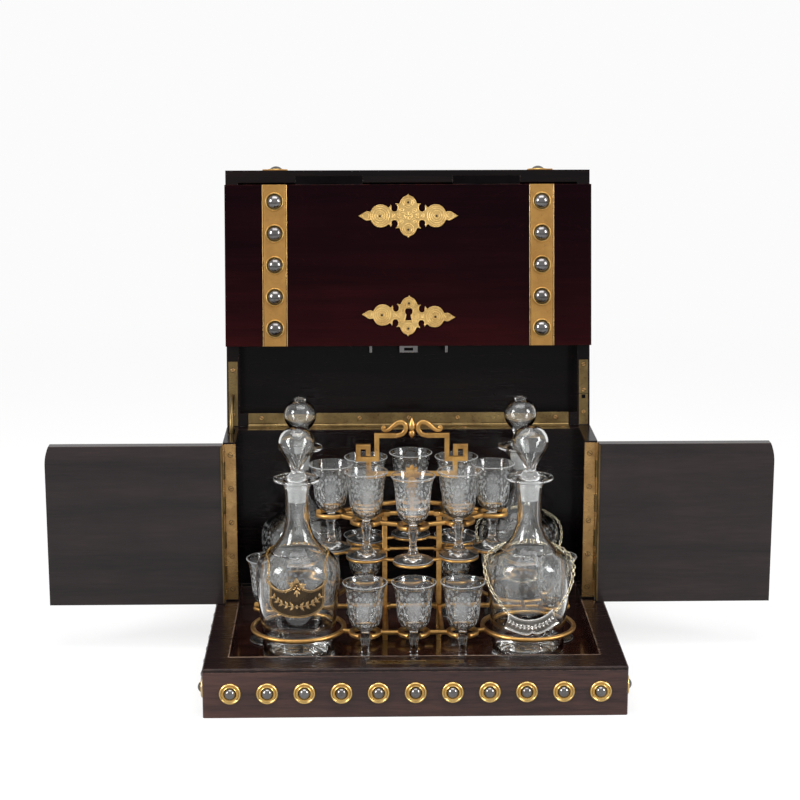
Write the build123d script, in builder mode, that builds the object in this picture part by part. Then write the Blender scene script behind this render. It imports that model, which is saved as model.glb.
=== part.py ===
from build123d import *
import os
from math import atan2, cos, degrees, hypot, radians, sin

os.makedirs("parts", exist_ok=True)

# Every length is in millimetres. X runs left to right, Y front to back, Z up.
# The origin is on the underside of the base, at its middle.

# Case
base_width = 340.0
base_depth = 240.0
base_height = 41.0
base_top_thickness = 3.0
base_edge_chamfer = 1.0
base_corner_radius = 2.0
side_lip = 8.0
front_lip = 7.0
back_lip = 5.8
body_height = 143.0
side_wall = 11.0
back_wall = 11.2
return_depth = 50.0
well_depth = 22.0
front_rim = 29.0

# Lid, flap and doors
seam = 0.5
lid_height = 50.0
lid_board_thickness = 8.0
lid_rail = 11.0
lid_open_angle = 100.0
flap_thickness = 12.0
door_thickness = 10.0
door_seam = 0.4
door_end_clearance = 1.5
door_crown_height = 17.0
door_crown_depth = 3.5

# Hinges
lid_barrel_radius = 2.0
lid_hinge_end_gap = 8.0
lid_leaf_width = 9.0
lid_leaf_thickness = 1.0
flap_barrel_radius = 1.1
flap_hinge_length = 60.0
flap_leaf_width = 7.0
flap_leaf_thickness = 0.8
flap_hinge_spacing = 140.0
door_barrel_radius = 1.5
door_leaf_width = 9.3
door_leaf_thickness = 1.2
pin_clearance = 0.06
barrel_clearance = 0.2

# Brass trim
strap_width = 22.0
strap_thickness = 1.0
strap_spacing = 236.0
strap_bend = 2.0
flap_stud_pitch = 28.0
flap_stud_count = 5
flap_stud_radius = 8.0
flap_dome_radius = 6.4
base_stud_pitch = 29.6
base_stud_radius = 8.8
base_dome_radius = 4.9
bezel_height = 2.0
dome_clearance = 0.15
escutcheon_thickness = 1.0
escutcheon_upper_drop = 27.8
escutcheon_lower_drop = 116.0
tongue_width = 16.0
tongue_thickness = 3.0
tongue_reach = 6.0
dowel_radius = 1.6
dowel_spacing = 67.2
strike_length = 78.0
strike_width = 8.0
strike_thickness = 1.0
socket_clearance = 0.4
stay_radius = 27.0
stay_bar = 3.6
stay_reach = 5.0
rim_plate_width = 8.0
rim_plate_length = 30.0
rim_plate_gap = 0.6
latch_hole = 3.5
slot_clearance = 0.8

# Stand
stand_forward = 2.0
tray_thickness = 3.0
tray_clearance = 1.5
bar_width = 4.2
tier_thickness = 3.6
foot_tier_thickness = 2.2
clip_radius = 9.5
clip_width = 4.0
clip_gap = 9.4
foot_ring_radius = 13.0
foot_ring_width = 4.0
decanter_ring_clearance = 0.6
decanter_ring_width = 4.0
post_spacing = 46.0
post_width = 4.4
post_clearance = 0.1
collar_width = 8.8
upper_foot_z = 104.0
grip_height = 30.0
lower_row_pitch = 40.0
lower_row_edge = 14.5
lower_side_offset = 27.0
upper_middle_y = 39.5
upper_corner_x = 38.6
upper_corner_y = 24.5
upper_side_x = 68.3
decanter_edge = 4.4
decanter_gap = 36.0
handle_span = 63.0
handle_height = 67.9
handle_thickness = 4.2
handle_drop = 24.2
key_width = 12.6
key_height = 14.7
palmette_height = 39.7
palmette_stem = 9.2
scroll_width = 3.2
scroll_height = 78.8
bud_height = 81.7

# Glassware
glass_height = 73.0
glass_foot_radius = 16.5
glass_stem_height = 32.3
glass_stem_radius = 4.1
glass_bowl_radius = 14.4
glass_rim_radius = 18.7
glass_wall = 1.4
glass_gap = 1.3
seat_gap = 0.25
decanter_height = 158.0
decanter_base_taper = 6.5
decanter_shoulder_z = 75.0
decanter_ridge_taper = 10.5
decanter_ridge_z = 95.5
decanter_neck_radius = 9.8
decanter_neck_depth = 27.0
decanter_mouth_radius = 11.4
decanter_lip_radius = 19.2
decanter_lip_thickness = 2.6
decanter_wall = 3.0
decanter_bottom = 6.0
joint_top_radius = 8.2
joint_bottom_radius = 7.3
joint_depth = 21.0
joint_clearance = 0.15
stopper_height = 41.0
stopper_radius = 14.7
stopper_stem_radius = 5.2
label_thickness = 1.2
label_clearance = 0.3
right_label_taper = 0.9
left_chain_radius = 0.8
right_chain_radius = 1.2

# Planes and lines that several pieces share
body_half = base_width / 2 - side_lip
body_front = -base_depth / 2 + front_lip
body_back = base_depth / 2 - back_lip
body_top = base_height + body_height
inner_half = body_half - side_wall
inner_back = body_back - back_wall
hinge_face = inner_back - return_depth
well_front = -base_depth / 2 + front_rim
well_bottom = base_height - well_depth
floor_z = well_bottom + tray_thickness
plinth_height = base_height - base_top_thickness
lid_bottom = body_top + seam
lid_top = lid_bottom + lid_height
lid_pin_y = body_back
lid_pin_z = body_top + seam / 2
flap_inner = body_front + flap_thickness
flap_pin_y = flap_inner + flap_barrel_radius + barrel_clearance
door_pin_x = body_half
door_pin_y = hinge_face - door_seam / 2
door_end = flap_inner + door_end_clearance
lower_grip_z = floor_z + grip_height
upper_grip_z = upper_foot_z + grip_height
post_top = upper_grip_z + tier_thickness / 2
strap_x = strap_spacing / 2
lid_hinge_length = 2 * (inner_half - lid_hinge_end_gap)
well_half_depth = (inner_back - well_front) / 2
stand_y = (inner_back + well_front) / 2 - stand_forward
lower_row_y = well_half_depth - lower_row_edge - clip_radius - clip_width
decanter_side_room = decanter_edge + decanter_ring_width + decanter_ring_clearance
decanter_shoulder_radius = (well_half_depth - decanter_side_room - decanter_gap / 2) / 2
decanter_base_radius = decanter_shoulder_radius - decanter_base_taper
decanter_ridge_radius = decanter_shoulder_radius - decanter_ridge_taper
decanter_neck_z = decanter_height - decanter_neck_depth
decanter_ring_radius = decanter_shoulder_radius + decanter_ring_clearance
decanter_x = lower_row_pitch + glass_rim_radius + glass_gap + decanter_shoulder_radius
decanter_y = decanter_gap / 2 + decanter_shoulder_radius
lower_side_x = decanter_x + lower_side_offset
flap_face = Plane((0, body_front, 0), x_dir=(1, 0, 0), z_dir=(0, -1, 0))
side_view = Plane((0, 0, 0), x_dir=(0, 1, 0), z_dir=(1, 0, 0))

lower_front = [(i * lower_row_pitch, -lower_row_y) for i in (-1, 0, 1)]
lower_back = [(i * lower_row_pitch, lower_row_y) for i in (-1, 0, 1)]
lower_sides = [(-lower_side_x, 0), (lower_side_x, 0)]
upper_front = [(-upper_corner_x, -upper_corner_y), (0, -upper_middle_y), (upper_corner_x, -upper_corner_y)]
upper_back = [(-upper_corner_x, upper_corner_y), (0, upper_middle_y), (upper_corner_x, upper_corner_y)]
upper_sides = [(-upper_side_x, 0), (upper_side_x, 0)]
decanter_places = [(x * decanter_x, y * decanter_y) for y in (-1, 1) for x in (-1, 1)]
post_places = [(-post_spacing / 2, 0), (post_spacing / 2, 0)]


def turn_about_x(angle, y, z):
    return Pos(0, y, z) * Rot(angle, 0, 0) * Pos(0, -y, -z)


def turn_about_z(angle, x, y):
    return Pos(x, y, 0) * Rot(0, 0, angle) * Pos(-x, -y, 0)


lid_swing = turn_about_x(-lid_open_angle, lid_pin_y, lid_pin_z)
flap_fold = lid_swing * turn_about_x(90, flap_pin_y, lid_pin_z)
door_swing = turn_about_z(90, door_pin_x, door_pin_y)


def keep(piece, name):
    piece.label = name
    export_step(piece, f"parts/{name}.step")


def box(x0, x1, y0, y1, z0, z1, mode=Mode.ADD):
    with Locations(((x0 + x1) / 2, (y0 + y1) / 2, (z0 + z1) / 2)):
        Box(x1 - x0, y1 - y0, z1 - z0, mode=mode)


def hinge_half(length, knuckles, first, radius, leaf_width, leaf_z, leaf_thickness, pin):
    """One leaf with its knuckles: the axis lies along X and the leaf reaches towards -Y."""
    step = length / knuckles
    gap = radius + barrel_clearance
    with BuildPart() as half:
        box(-length / 2, length / 2, -gap - leaf_width, -gap, leaf_z, leaf_z + leaf_thickness)
        for index in range(first, knuckles, 2):
            x = (index + 0.5) * step - length / 2
            width = step - barrel_clearance
            box(x - width / 2, x + width / 2, -gap, 0, leaf_z, leaf_z + leaf_thickness)
            with Locations(Location((x, 0, 0), (0, 90, 0))):
                Cylinder(radius, width)
        with Locations(Location((0, 0, 0), (0, 90, 0))):
            if pin:
                Cylinder(radius / 2, length)
            else:
                Cylinder(radius / 2 + pin_clearance, length, mode=Mode.SUBTRACT)
    return half.part


# --- Base -----------------------------------------------------------------

strike_y = (body_front + flap_inner) / 2 + 1.5
strike_front = strike_y - strike_width / 2
strike_back = strike_y + strike_width / 2


def lock_sockets(bottom, top):
    """Cuts the sockets of the flap's tongue and dowels from the solid in hand."""
    side = tongue_width / 2 + socket_clearance
    depth = tongue_thickness / 2 + socket_clearance
    box(-side, side, strike_y - depth, strike_y + depth, bottom, top, Mode.SUBTRACT)
    with Locations(*[(x, strike_y, (bottom + top) / 2) for x in (-dowel_spacing / 2, dowel_spacing / 2)]):
        Cylinder(dowel_radius + socket_clearance, top - bottom, mode=Mode.SUBTRACT)


with BuildPart() as base_plinth:
    with BuildSketch():
        Rectangle(base_width, base_depth)
    extrude(amount=plinth_height)
    fillet(base_plinth.edges().filter_by(Axis.Z), radius=base_corner_radius)
    box(-inner_half, inner_half, well_front, inner_back, well_bottom, plinth_height, Mode.SUBTRACT)
    lock_sockets(base_height - tongue_reach, plinth_height)
keep(base_plinth.part, "base_plinth")

with BuildPart() as base_top:
    with BuildSketch(Plane.XY.offset(plinth_height)):
        Rectangle(base_width, base_depth)
    extrude(amount=base_top_thickness)
    fillet(base_top.edges().filter_by(Axis.Z), radius=base_corner_radius)
    chamfer(base_top.faces().sort_by(Axis.Z)[-1].edges(), length=base_edge_chamfer)
    box(-inner_half, inner_half, well_front, inner_back, plinth_height, base_height, Mode.SUBTRACT)
    box(-strike_length / 2, strike_length / 2, strike_front, strike_back,
        base_height - strike_thickness, base_height, Mode.SUBTRACT)
    lock_sockets(plinth_height, base_height)
keep(base_top.part, "base_top")

with BuildPart() as strike_plate:
    box(-strike_length / 2, strike_length / 2, strike_front, strike_back,
        base_height - strike_thickness, base_height)
    lock_sockets(base_height - strike_thickness, base_height)
keep(strike_plate.part, "strike_plate")


# --- Decorative studs -----------------------------------------------------

def stud_bezel(outer, inner):
    """A dished gilt ring, standing on Z = 0."""
    with BuildPart() as bezel:
        with BuildSketch(Plane.XZ):
            with BuildLine():
                Polyline((inner, 0), (outer, 0), (outer - 0.4, bezel_height * 0.6),
                         (outer - 1.1, bezel_height), (inner, bezel_height * 0.5), close=True)
            make_face()
        revolve(axis=Axis.Z)
    return bezel.part


def stud_dome(radius, height):
    """A domed steel head, standing on Z = 0."""
    cap = (radius ** 2 + height ** 2) / (2 * height)
    with BuildPart() as dome:
        with BuildSketch(Plane.XZ):
            with BuildLine():
                Line((0, 0), (radius, 0))
                RadiusArc((radius, 0), (0, height), -cap)
                Line((0, height), (0, 0))
            make_face()
        revolve(axis=Axis.Z)
    return dome.part


def spread(piece, places):
    with BuildPart() as group:
        with Locations(*places):
            add(piece)
    return group.part


def facing(origin, direction):
    return Plane(origin, z_dir=direction).location


base_stud_z = base_height / 2
front_studs = [facing((i * base_stud_pitch, -base_depth / 2, base_stud_z), (0, -1, 0)) for i in range(-5, 6)]
side_studs = [facing((s * base_width / 2, (i - 3.5) * base_stud_pitch, base_stud_z), (s, 0, 0))
              for s in (-1, 1) for i in range(8)]
base_studs = front_studs + side_studs
keep(spread(stud_bezel(base_stud_radius, base_dome_radius + dome_clearance), base_studs), "base_stud_rings")
keep(spread(stud_dome(base_dome_radius, base_dome_radius), base_studs), "base_stud_domes")

flap_stud_z = [body_top - 15 - i * flap_stud_pitch for i in range(flap_stud_count)]
stud_y = body_front - strap_thickness
flap_studs = [facing((s * strap_x, stud_y, z), (0, -1, 0)) for s in (-1, 1) for z in flap_stud_z]
flap_bezel = stud_bezel(flap_stud_radius, flap_dome_radius + dome_clearance)
flap_dome = stud_dome(flap_dome_radius, flap_dome_radius * 0.7)
keep(spread(flap_bezel, flap_studs).moved(flap_fold), "flap_stud_bezels")
keep(spread(flap_dome, flap_studs).moved(flap_fold), "flap_stud_domes")

with BuildPart() as lid_stud:
    add(flap_bezel)
    add(stud_dome(flap_dome_radius + 2 * dome_clearance, flap_dome_radius * 0.7))
lid_front_studs = [facing((s * strap_x, stud_y, lid_bottom + lid_height / 2), (0, -1, 0)) for s in (-1, 1)]
lid_top_studs = [facing((s * strap_x, body_front + 22.5 + i * 45, lid_top + strap_thickness), (0, 0, 1))
                 for s in (-1, 1) for i in range(5)]
keep(spread(lid_stud.part, lid_front_studs + lid_top_studs).moved(lid_swing), "lid_studs")


# --- Back and side returns ------------------------------------------------

lid_hinge_place = Location((0, lid_pin_y, lid_pin_z))
leaf_front = lid_pin_y - lid_barrel_radius - barrel_clearance - lid_leaf_width
lid_lower_half = hinge_half(lid_hinge_length, 11, 0, lid_barrel_radius, lid_leaf_width,
                            -seam / 2 - lid_leaf_thickness, lid_leaf_thickness, True)
keep(lid_lower_half.moved(lid_hinge_place), "lid_hinge_lower")


def barrel_groove():
    """Cuts the room for the lid hinge's barrel from the solid in hand."""
    with Locations(Location((0, lid_pin_y, lid_pin_z), (0, 90, 0))):
        Cylinder(lid_barrel_radius + barrel_clearance, lid_hinge_length, mode=Mode.SUBTRACT)


with BuildPart() as back_panel:
    box(-body_half, body_half, inner_back, body_back, base_height, body_top)
    barrel_groove()
    box(-lid_hinge_length / 2, lid_hinge_length / 2, leaf_front, body_back,
        body_top - lid_leaf_thickness, body_top, Mode.SUBTRACT)
keep(back_panel.part, "back_panel")

door_hinge_length = body_height - 3
door_middle_z = (base_height + body_top) / 2
leaf_outer = door_pin_x - door_barrel_radius - barrel_clearance
leaf_inner = leaf_outer - door_leaf_width


def door_groove():
    """Cuts the room for the right door hinge's barrel from the solid in hand."""
    with Locations((door_pin_x, door_pin_y, door_middle_z)):
        Cylinder(door_barrel_radius + barrel_clearance, door_hinge_length, mode=Mode.SUBTRACT)


def side_return():
    with BuildPart() as post:
        box(inner_half, body_half, hinge_face, inner_back, base_height, body_top)
        door_groove()
        box(leaf_inner, body_half, hinge_face, hinge_face + door_leaf_thickness,
            door_middle_z - door_hinge_length / 2, door_middle_z + door_hinge_length / 2, Mode.SUBTRACT)
    return post.part


stay_x = -(inner_half + body_half) / 2
stay_slot = stay_bar / 2 + slot_clearance
with BuildPart() as side_return_left:
    add(mirror(side_return(), about=Plane.YZ))
    box(stay_x - stay_slot, stay_x + stay_slot, lid_pin_y - stay_radius - stay_slot, inner_back,
        body_top - stay_radius - 1, body_top, Mode.SUBTRACT)
keep(side_return_left.part, "side_return_left")

with BuildPart() as side_return_right:
    add(side_return())
    with Locations((-stay_x, lid_pin_y - 25, body_top)):
        Hole(1.2, depth=6)
keep(side_return_right.part, "side_return_right")

door_axis = Plane((door_pin_x, door_pin_y, door_middle_z), x_dir=(0, 0, 1), z_dir=(0, 1, 0)).location
post_leaf = hinge_half(door_hinge_length, 9, 0, door_barrel_radius, door_leaf_width,
                       door_seam / 2, door_leaf_thickness, True).moved(door_axis)
keep(Part(post_leaf.wrapped), "post_leaf_right")
keep(mirror(post_leaf, about=Plane.YZ), "post_leaf_left")


# --- Doors ----------------------------------------------------------------

door_leaf = hinge_half(door_hinge_length, 9, 1, door_barrel_radius, door_leaf_width,
                       -door_seam / 2 - door_leaf_thickness, door_leaf_thickness, False).moved(door_axis)
door_bottom = base_height + door_seam
door_top = body_top - door_seam
door_back = hinge_face - door_seam
with BuildPart() as door:
    with BuildSketch(Plane.YZ.offset(body_half - door_thickness)):
        with BuildLine():
            Polyline((door_end, door_top - door_crown_height), (door_end, door_bottom),
                     (door_back, door_bottom), (door_back, door_top), (door_end + door_crown_depth, door_top))
            RadiusArc((door_end + door_crown_depth, door_top), (door_end, door_top - door_crown_height), -43)
        make_face()
    extrude(amount=door_thickness)
    door_groove()
    box(leaf_inner, body_half, door_back - door_leaf_thickness, door_back,
        door_middle_z - door_hinge_length / 2, door_middle_z + door_hinge_length / 2, Mode.SUBTRACT)
keep(door.part.moved(door_swing), "door_right")
keep(mirror(door.part.moved(door_swing), about=Plane.YZ), "door_left")
keep(door_leaf.moved(door_swing), "door_leaf_right")
keep(mirror(door_leaf.moved(door_swing), about=Plane.YZ), "door_leaf_left")


# --- Lid ------------------------------------------------------------------

with BuildPart() as lid_block:
    box(-body_half, body_half, body_front, body_back, lid_bottom, lid_top)
    fillet(lid_block.faces().sort_by(Axis.Z)[-1].edges().sort_by(Axis.Y)[0], radius=strap_bend)

board_z = lid_top - lid_board_thickness
with BuildPart() as lid_board:
    add(lid_block.part)
    box(-body_half, body_half, body_front, body_back, lid_bottom, board_z, Mode.SUBTRACT)
keep(lid_board.part.moved(lid_swing), "lid_board")

flap_leaf_back = flap_pin_y - flap_barrel_radius - barrel_clearance
flap_hinge_x = [-flap_hinge_spacing / 2, flap_hinge_spacing / 2]
plate_half = rim_plate_width / 2
left_plate_y = lid_pin_y - 57.5
right_plate_y = lid_pin_y - 58
right_plate_end = right_plate_y + rim_plate_length
latch_half = latch_hole / 2
latch_y = right_plate_end + rim_plate_gap + 0.6 + latch_half
rim_plate_top = lid_bottom + lid_leaf_thickness
with BuildPart() as lid_frame:
    box(-body_half, body_half, body_front, body_back, lid_bottom, board_z)
    box(-inner_half, inner_half, body_front + lid_rail, body_back - lid_rail, lid_bottom, board_z,
        Mode.SUBTRACT)
    box(-lid_hinge_length / 2, lid_hinge_length / 2, leaf_front, body_back,
        lid_bottom, rim_plate_top, Mode.SUBTRACT)
    barrel_groove()
    for x in flap_hinge_x:
        box(x - flap_hinge_length / 2, x + flap_hinge_length / 2, flap_leaf_back - flap_leaf_width,
            flap_leaf_back, lid_bottom, lid_bottom + flap_leaf_thickness, Mode.SUBTRACT)
    box(stay_x - plate_half, stay_x + plate_half, left_plate_y, body_back, lid_bottom, rim_plate_top,
        Mode.SUBTRACT)
    box(-stay_x - plate_half, -stay_x + plate_half, right_plate_y, body_back, lid_bottom, rim_plate_top,
        Mode.SUBTRACT)
    box(-stay_x - latch_half, -stay_x + latch_half, latch_y - latch_half, latch_y + latch_half,
        lid_bottom, lid_bottom + 6, Mode.SUBTRACT)
keep(lid_frame.part.moved(lid_swing), "lid_frame")

lid_upper_half = hinge_half(lid_hinge_length, 11, 1, lid_barrel_radius, lid_leaf_width,
                            seam / 2, lid_leaf_thickness, False)
keep(lid_upper_half.moved(lid_swing * lid_hinge_place), "lid_hinge_upper")

stay_view = side_view.offset(stay_x)
with BuildPart() as lid_stay:
    with BuildLine(stay_view) as stay_line:
        CenterArc((lid_pin_y, lid_pin_z), stay_radius, 178, lid_open_angle + stay_reach + 2)
    with BuildSketch(Plane(stay_line.line @ 0, z_dir=stay_line.line % 0)):
        Circle(stay_bar / 2)
    sweep()
    box(stay_x - plate_half, stay_x + plate_half, left_plate_y, body_back, lid_bottom, rim_plate_top)
keep(lid_stay.part.moved(lid_swing), "lid_stay")

with BuildPart() as lid_rim_plate:
    box(-stay_x - plate_half, -stay_x + plate_half, right_plate_y, right_plate_end, lid_bottom,
        rim_plate_top)
    box(-stay_x - plate_half, -stay_x + plate_half, right_plate_end + rim_plate_gap,
        body_back - barrel_clearance,
        lid_bottom, rim_plate_top)
    box(-stay_x - latch_half, -stay_x + latch_half, latch_y - latch_half, latch_y + latch_half,
        lid_bottom, rim_plate_top, Mode.SUBTRACT)
keep(lid_rim_plate.part.moved(lid_swing), "lid_rim_plate")

with BuildPart() as lid_strap:
    box(strap_x - strap_width / 2, strap_x + strap_width / 2, body_front - strap_thickness, body_back,
        lid_bottom, lid_top + strap_thickness)
    fillet(lid_strap.faces().sort_by(Axis.Z)[-1].edges().sort_by(Axis.Y)[0],
           radius=strap_bend + strap_thickness)
    add(lid_block.part, mode=Mode.SUBTRACT)
keep(lid_strap.part.moved(lid_swing), "lid_strap_right")
keep(mirror(lid_strap.part, about=Plane.YZ).moved(lid_swing), "lid_strap_left")

flap_hinge_places = [Location((x, flap_pin_y, lid_pin_z)) for x in flap_hinge_x]
flap_upper_half = hinge_half(flap_hinge_length, 3, 0, flap_barrel_radius, flap_leaf_width,
                             seam / 2, flap_leaf_thickness, True)
keep(spread(flap_upper_half, flap_hinge_places).moved(lid_swing), "flap_hinge_upper")


# --- Flap -----------------------------------------------------------------

flap_bottom = base_height + seam
flap_lower_half = hinge_half(flap_hinge_length, 3, 1, flap_barrel_radius, flap_leaf_width,
                             -seam / 2 - flap_leaf_thickness, flap_leaf_thickness, False)
keep(spread(flap_lower_half, flap_hinge_places).moved(flap_fold), "flap_hinge_lower")

with BuildPart() as flap_panel:
    box(-body_half, body_half, body_front, flap_inner, flap_bottom, body_top)
    for x in flap_hinge_x:
        box(x - flap_hinge_length / 2, x + flap_hinge_length / 2, flap_leaf_back - flap_leaf_width,
            flap_leaf_back, body_top - flap_leaf_thickness, body_top, Mode.SUBTRACT)
keep(flap_panel.part.moved(flap_fold), "flap_panel")

with BuildPart() as flap_strap:
    box(strap_x - strap_width / 2, strap_x + strap_width / 2, body_front - strap_thickness, body_front,
        flap_bottom, body_top)
keep(flap_strap.part.moved(flap_fold), "flap_strap_right")
keep(mirror(flap_strap.part, about=Plane.YZ).moved(flap_fold), "flap_strap_left")

with BuildPart() as flap_lock:
    box(-tongue_width / 2, tongue_width / 2, strike_y - tongue_thickness / 2,
        strike_y + tongue_thickness / 2,
        flap_bottom - tongue_reach, flap_bottom)
    box(-tongue_width / 4, tongue_width / 4, strike_y - tongue_thickness, strike_y + tongue_thickness,
        flap_bottom - tongue_reach * 0.7, flap_bottom - tongue_reach * 0.3, Mode.SUBTRACT)
    with Locations((-dowel_spacing / 2, strike_y, flap_bottom), (dowel_spacing / 2, strike_y, flap_bottom)):
        Cylinder(dowel_radius, tongue_reach, align=(Align.CENTER, Align.CENTER, Align.MAX))
keep(flap_lock.part.moved(flap_fold), "flap_lock")


def escutcheon(height, width, lobe_rise, disc_x, disc_radius, keyhole):
    """A pierced plate of a pointed centre, two discs and two small leaves, on the flap's outer face."""
    with BuildPart() as plate:
        with BuildSketch(Plane((0, body_front, height), x_dir=(1, 0, 0), z_dir=(0, -1, 0))):
            Rectangle(19, 2 * lobe_rise - 15)
            with Locations((0, lobe_rise - 8), (0, 8 - lobe_rise)):
                Circle(7.8)
            with BuildLine():
                Polyline((-4.5, lobe_rise - 2.2), (0, lobe_rise), (4.5, lobe_rise - 2.2),
                         (4.5, 2.2 - lobe_rise), (0, -lobe_rise), (-4.5, 2.2 - lobe_rise), close=True)
            make_face()
            Rectangle(2 * disc_x, 9)
            with Locations((-disc_x, 0), (disc_x, 0)):
                Circle(disc_radius)
            for side in (-1, 1):
                with BuildLine():
                    Polyline((side * disc_x, -4.5), (side * (width / 2 - 6), -3.2), (side * width / 2, 0),
                             (side * (width / 2 - 6), 3.2), (side * disc_x, 4.5), close=True)
                make_face()
                with Locations((side * (disc_x - disc_radius - 3), 6.2),
                               (side * (disc_x - disc_radius - 3), -6.2)):
                    Circle(2.4, mode=Mode.SUBTRACT)
            if keyhole:
                with Locations((0, 2)):
                    Circle(3.2, mode=Mode.SUBTRACT)
                with Locations((0, -1.5)):
                    Rectangle(3.6, 7, mode=Mode.SUBTRACT)
        extrude(amount=escutcheon_thickness)
    return plate.part


keep(escutcheon(body_top - escutcheon_upper_drop, 88, 19.7, 25.1, 9.6, False).moved(flap_fold),
     "escutcheon_upper")
keep(escutcheon(body_top - escutcheon_lower_drop, 83, 18.3, 24.9, 9.0, True).moved(flap_fold),
     "escutcheon_lower")


# --- Stand ----------------------------------------------------------------

stand_place = Location((0, stand_y, 0))
tray_bottom = well_bottom + seat_gap
with BuildPart() as stand_tray:
    box(-inner_half + tray_clearance, inner_half - tray_clearance, well_front + tray_clearance,
        inner_back - tray_clearance, tray_bottom, floor_z)
keep(stand_tray.part, "stand_tray")


def bar(start, end):
    """A straight flat bar between two points of the sketch in hand."""
    run_x = end[0] - start[0]
    run_y = end[1] - start[1]
    middle = ((start[0] + end[0]) / 2, (start[1] + end[1]) / 2, 0)
    with Locations(Location(middle, (0, 0, degrees(atan2(run_y, run_x))))):
        Rectangle(hypot(run_x, run_y), bar_width)


def tier(top, thickness, rings, clips, bars):
    """One level of the stand. Rings are (places, radius, width) and clips are (places, gap angle)."""
    with BuildPart() as level:
        with BuildSketch(Plane.XY.offset(top - thickness)):
            for start, end in bars:
                bar(start, end)
            for places, radius, width in rings:
                with Locations(*places):
                    Circle(radius + width)
            with Locations(*post_places):
                Rectangle(collar_width, collar_width)
            for places, radius, _ in rings:
                with Locations(*places):
                    Circle(radius, mode=Mode.SUBTRACT)
            for places, turn in clips:
                reach = clip_radius + clip_width
                for x, y in places:
                    with Locations(Location((x, y, 0), (0, 0, turn))):
                        Rectangle(reach, clip_gap, align=(Align.MIN, Align.CENTER), mode=Mode.SUBTRACT)
            with Locations(*post_places):
                Rectangle(post_width + 2 * post_clearance, post_width + 2 * post_clearance,
                          mode=Mode.SUBTRACT)
        extrude(amount=thickness)
    return level.part.moved(stand_place)


half_tier = tier_thickness / 2
post_x = post_spacing / 2
lower_clips = lower_front + lower_back + lower_sides
lower_bars = [((-lower_side_x, 0), (lower_side_x, 0))]
lower_bars += [((-lower_row_pitch, y), (lower_row_pitch, y)) for y in (-lower_row_y, lower_row_y)]
lower_bars += [((x, -lower_row_y), (x, lower_row_y)) for x in (-post_x, post_x)]
lower_bars += [((x, -decanter_y), (x, decanter_y)) for x in (-decanter_x, decanter_x)]
lower_bars += [((x * lower_row_pitch, y * lower_row_y), (x * decanter_x, y * decanter_y))
               for x in (-1, 1) for y in (-1, 1)]
keep(tier(lower_grip_z + half_tier, tier_thickness,
          [(lower_clips, clip_radius, clip_width),
           (decanter_places, decanter_ring_radius, decanter_ring_width)],
          [(lower_front, -90), (lower_back, 90), (lower_sides[:1], 180), (lower_sides[1:], 0)], lower_bars),
     "stand_lower_tier")

upper_places = upper_front + upper_back + upper_sides
upper_bars = [(upper_sides[0], upper_sides[1])]
upper_loop = [upper_sides[0]] + upper_front + [upper_sides[1]] + upper_back[::-1] + [upper_sides[0]]
upper_bars += list(zip(upper_loop, upper_loop[1:]))
upper_bars += [((x * post_x, 0), (x * upper_corner_x, y * upper_corner_y)) for x in (-1, 1) for y in (-1, 1)]
keep(tier(upper_foot_z, foot_tier_thickness, [(upper_places, foot_ring_radius, foot_ring_width)], [],
          upper_bars),
     "stand_foot_tier")
keep(tier(upper_grip_z + half_tier, tier_thickness, [(upper_places, clip_radius, clip_width)],
          [(upper_front, -90), (upper_back, 90), (upper_sides[:1], 180), (upper_sides[1:], 0)], upper_bars),
     "stand_upper_tier")

with BuildPart() as stand_posts:
    with Locations((-post_x, stand_y, floor_z), (post_x, stand_y, floor_z)):
        Box(post_width, post_width, post_top - floor_z, align=(Align.CENTER, Align.CENTER, Align.MIN))
    chamfer(stand_posts.faces().sort_by(Axis.Z)[-2:].edges(), length=0.6)
keep(stand_posts.part, "stand_posts")

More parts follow.
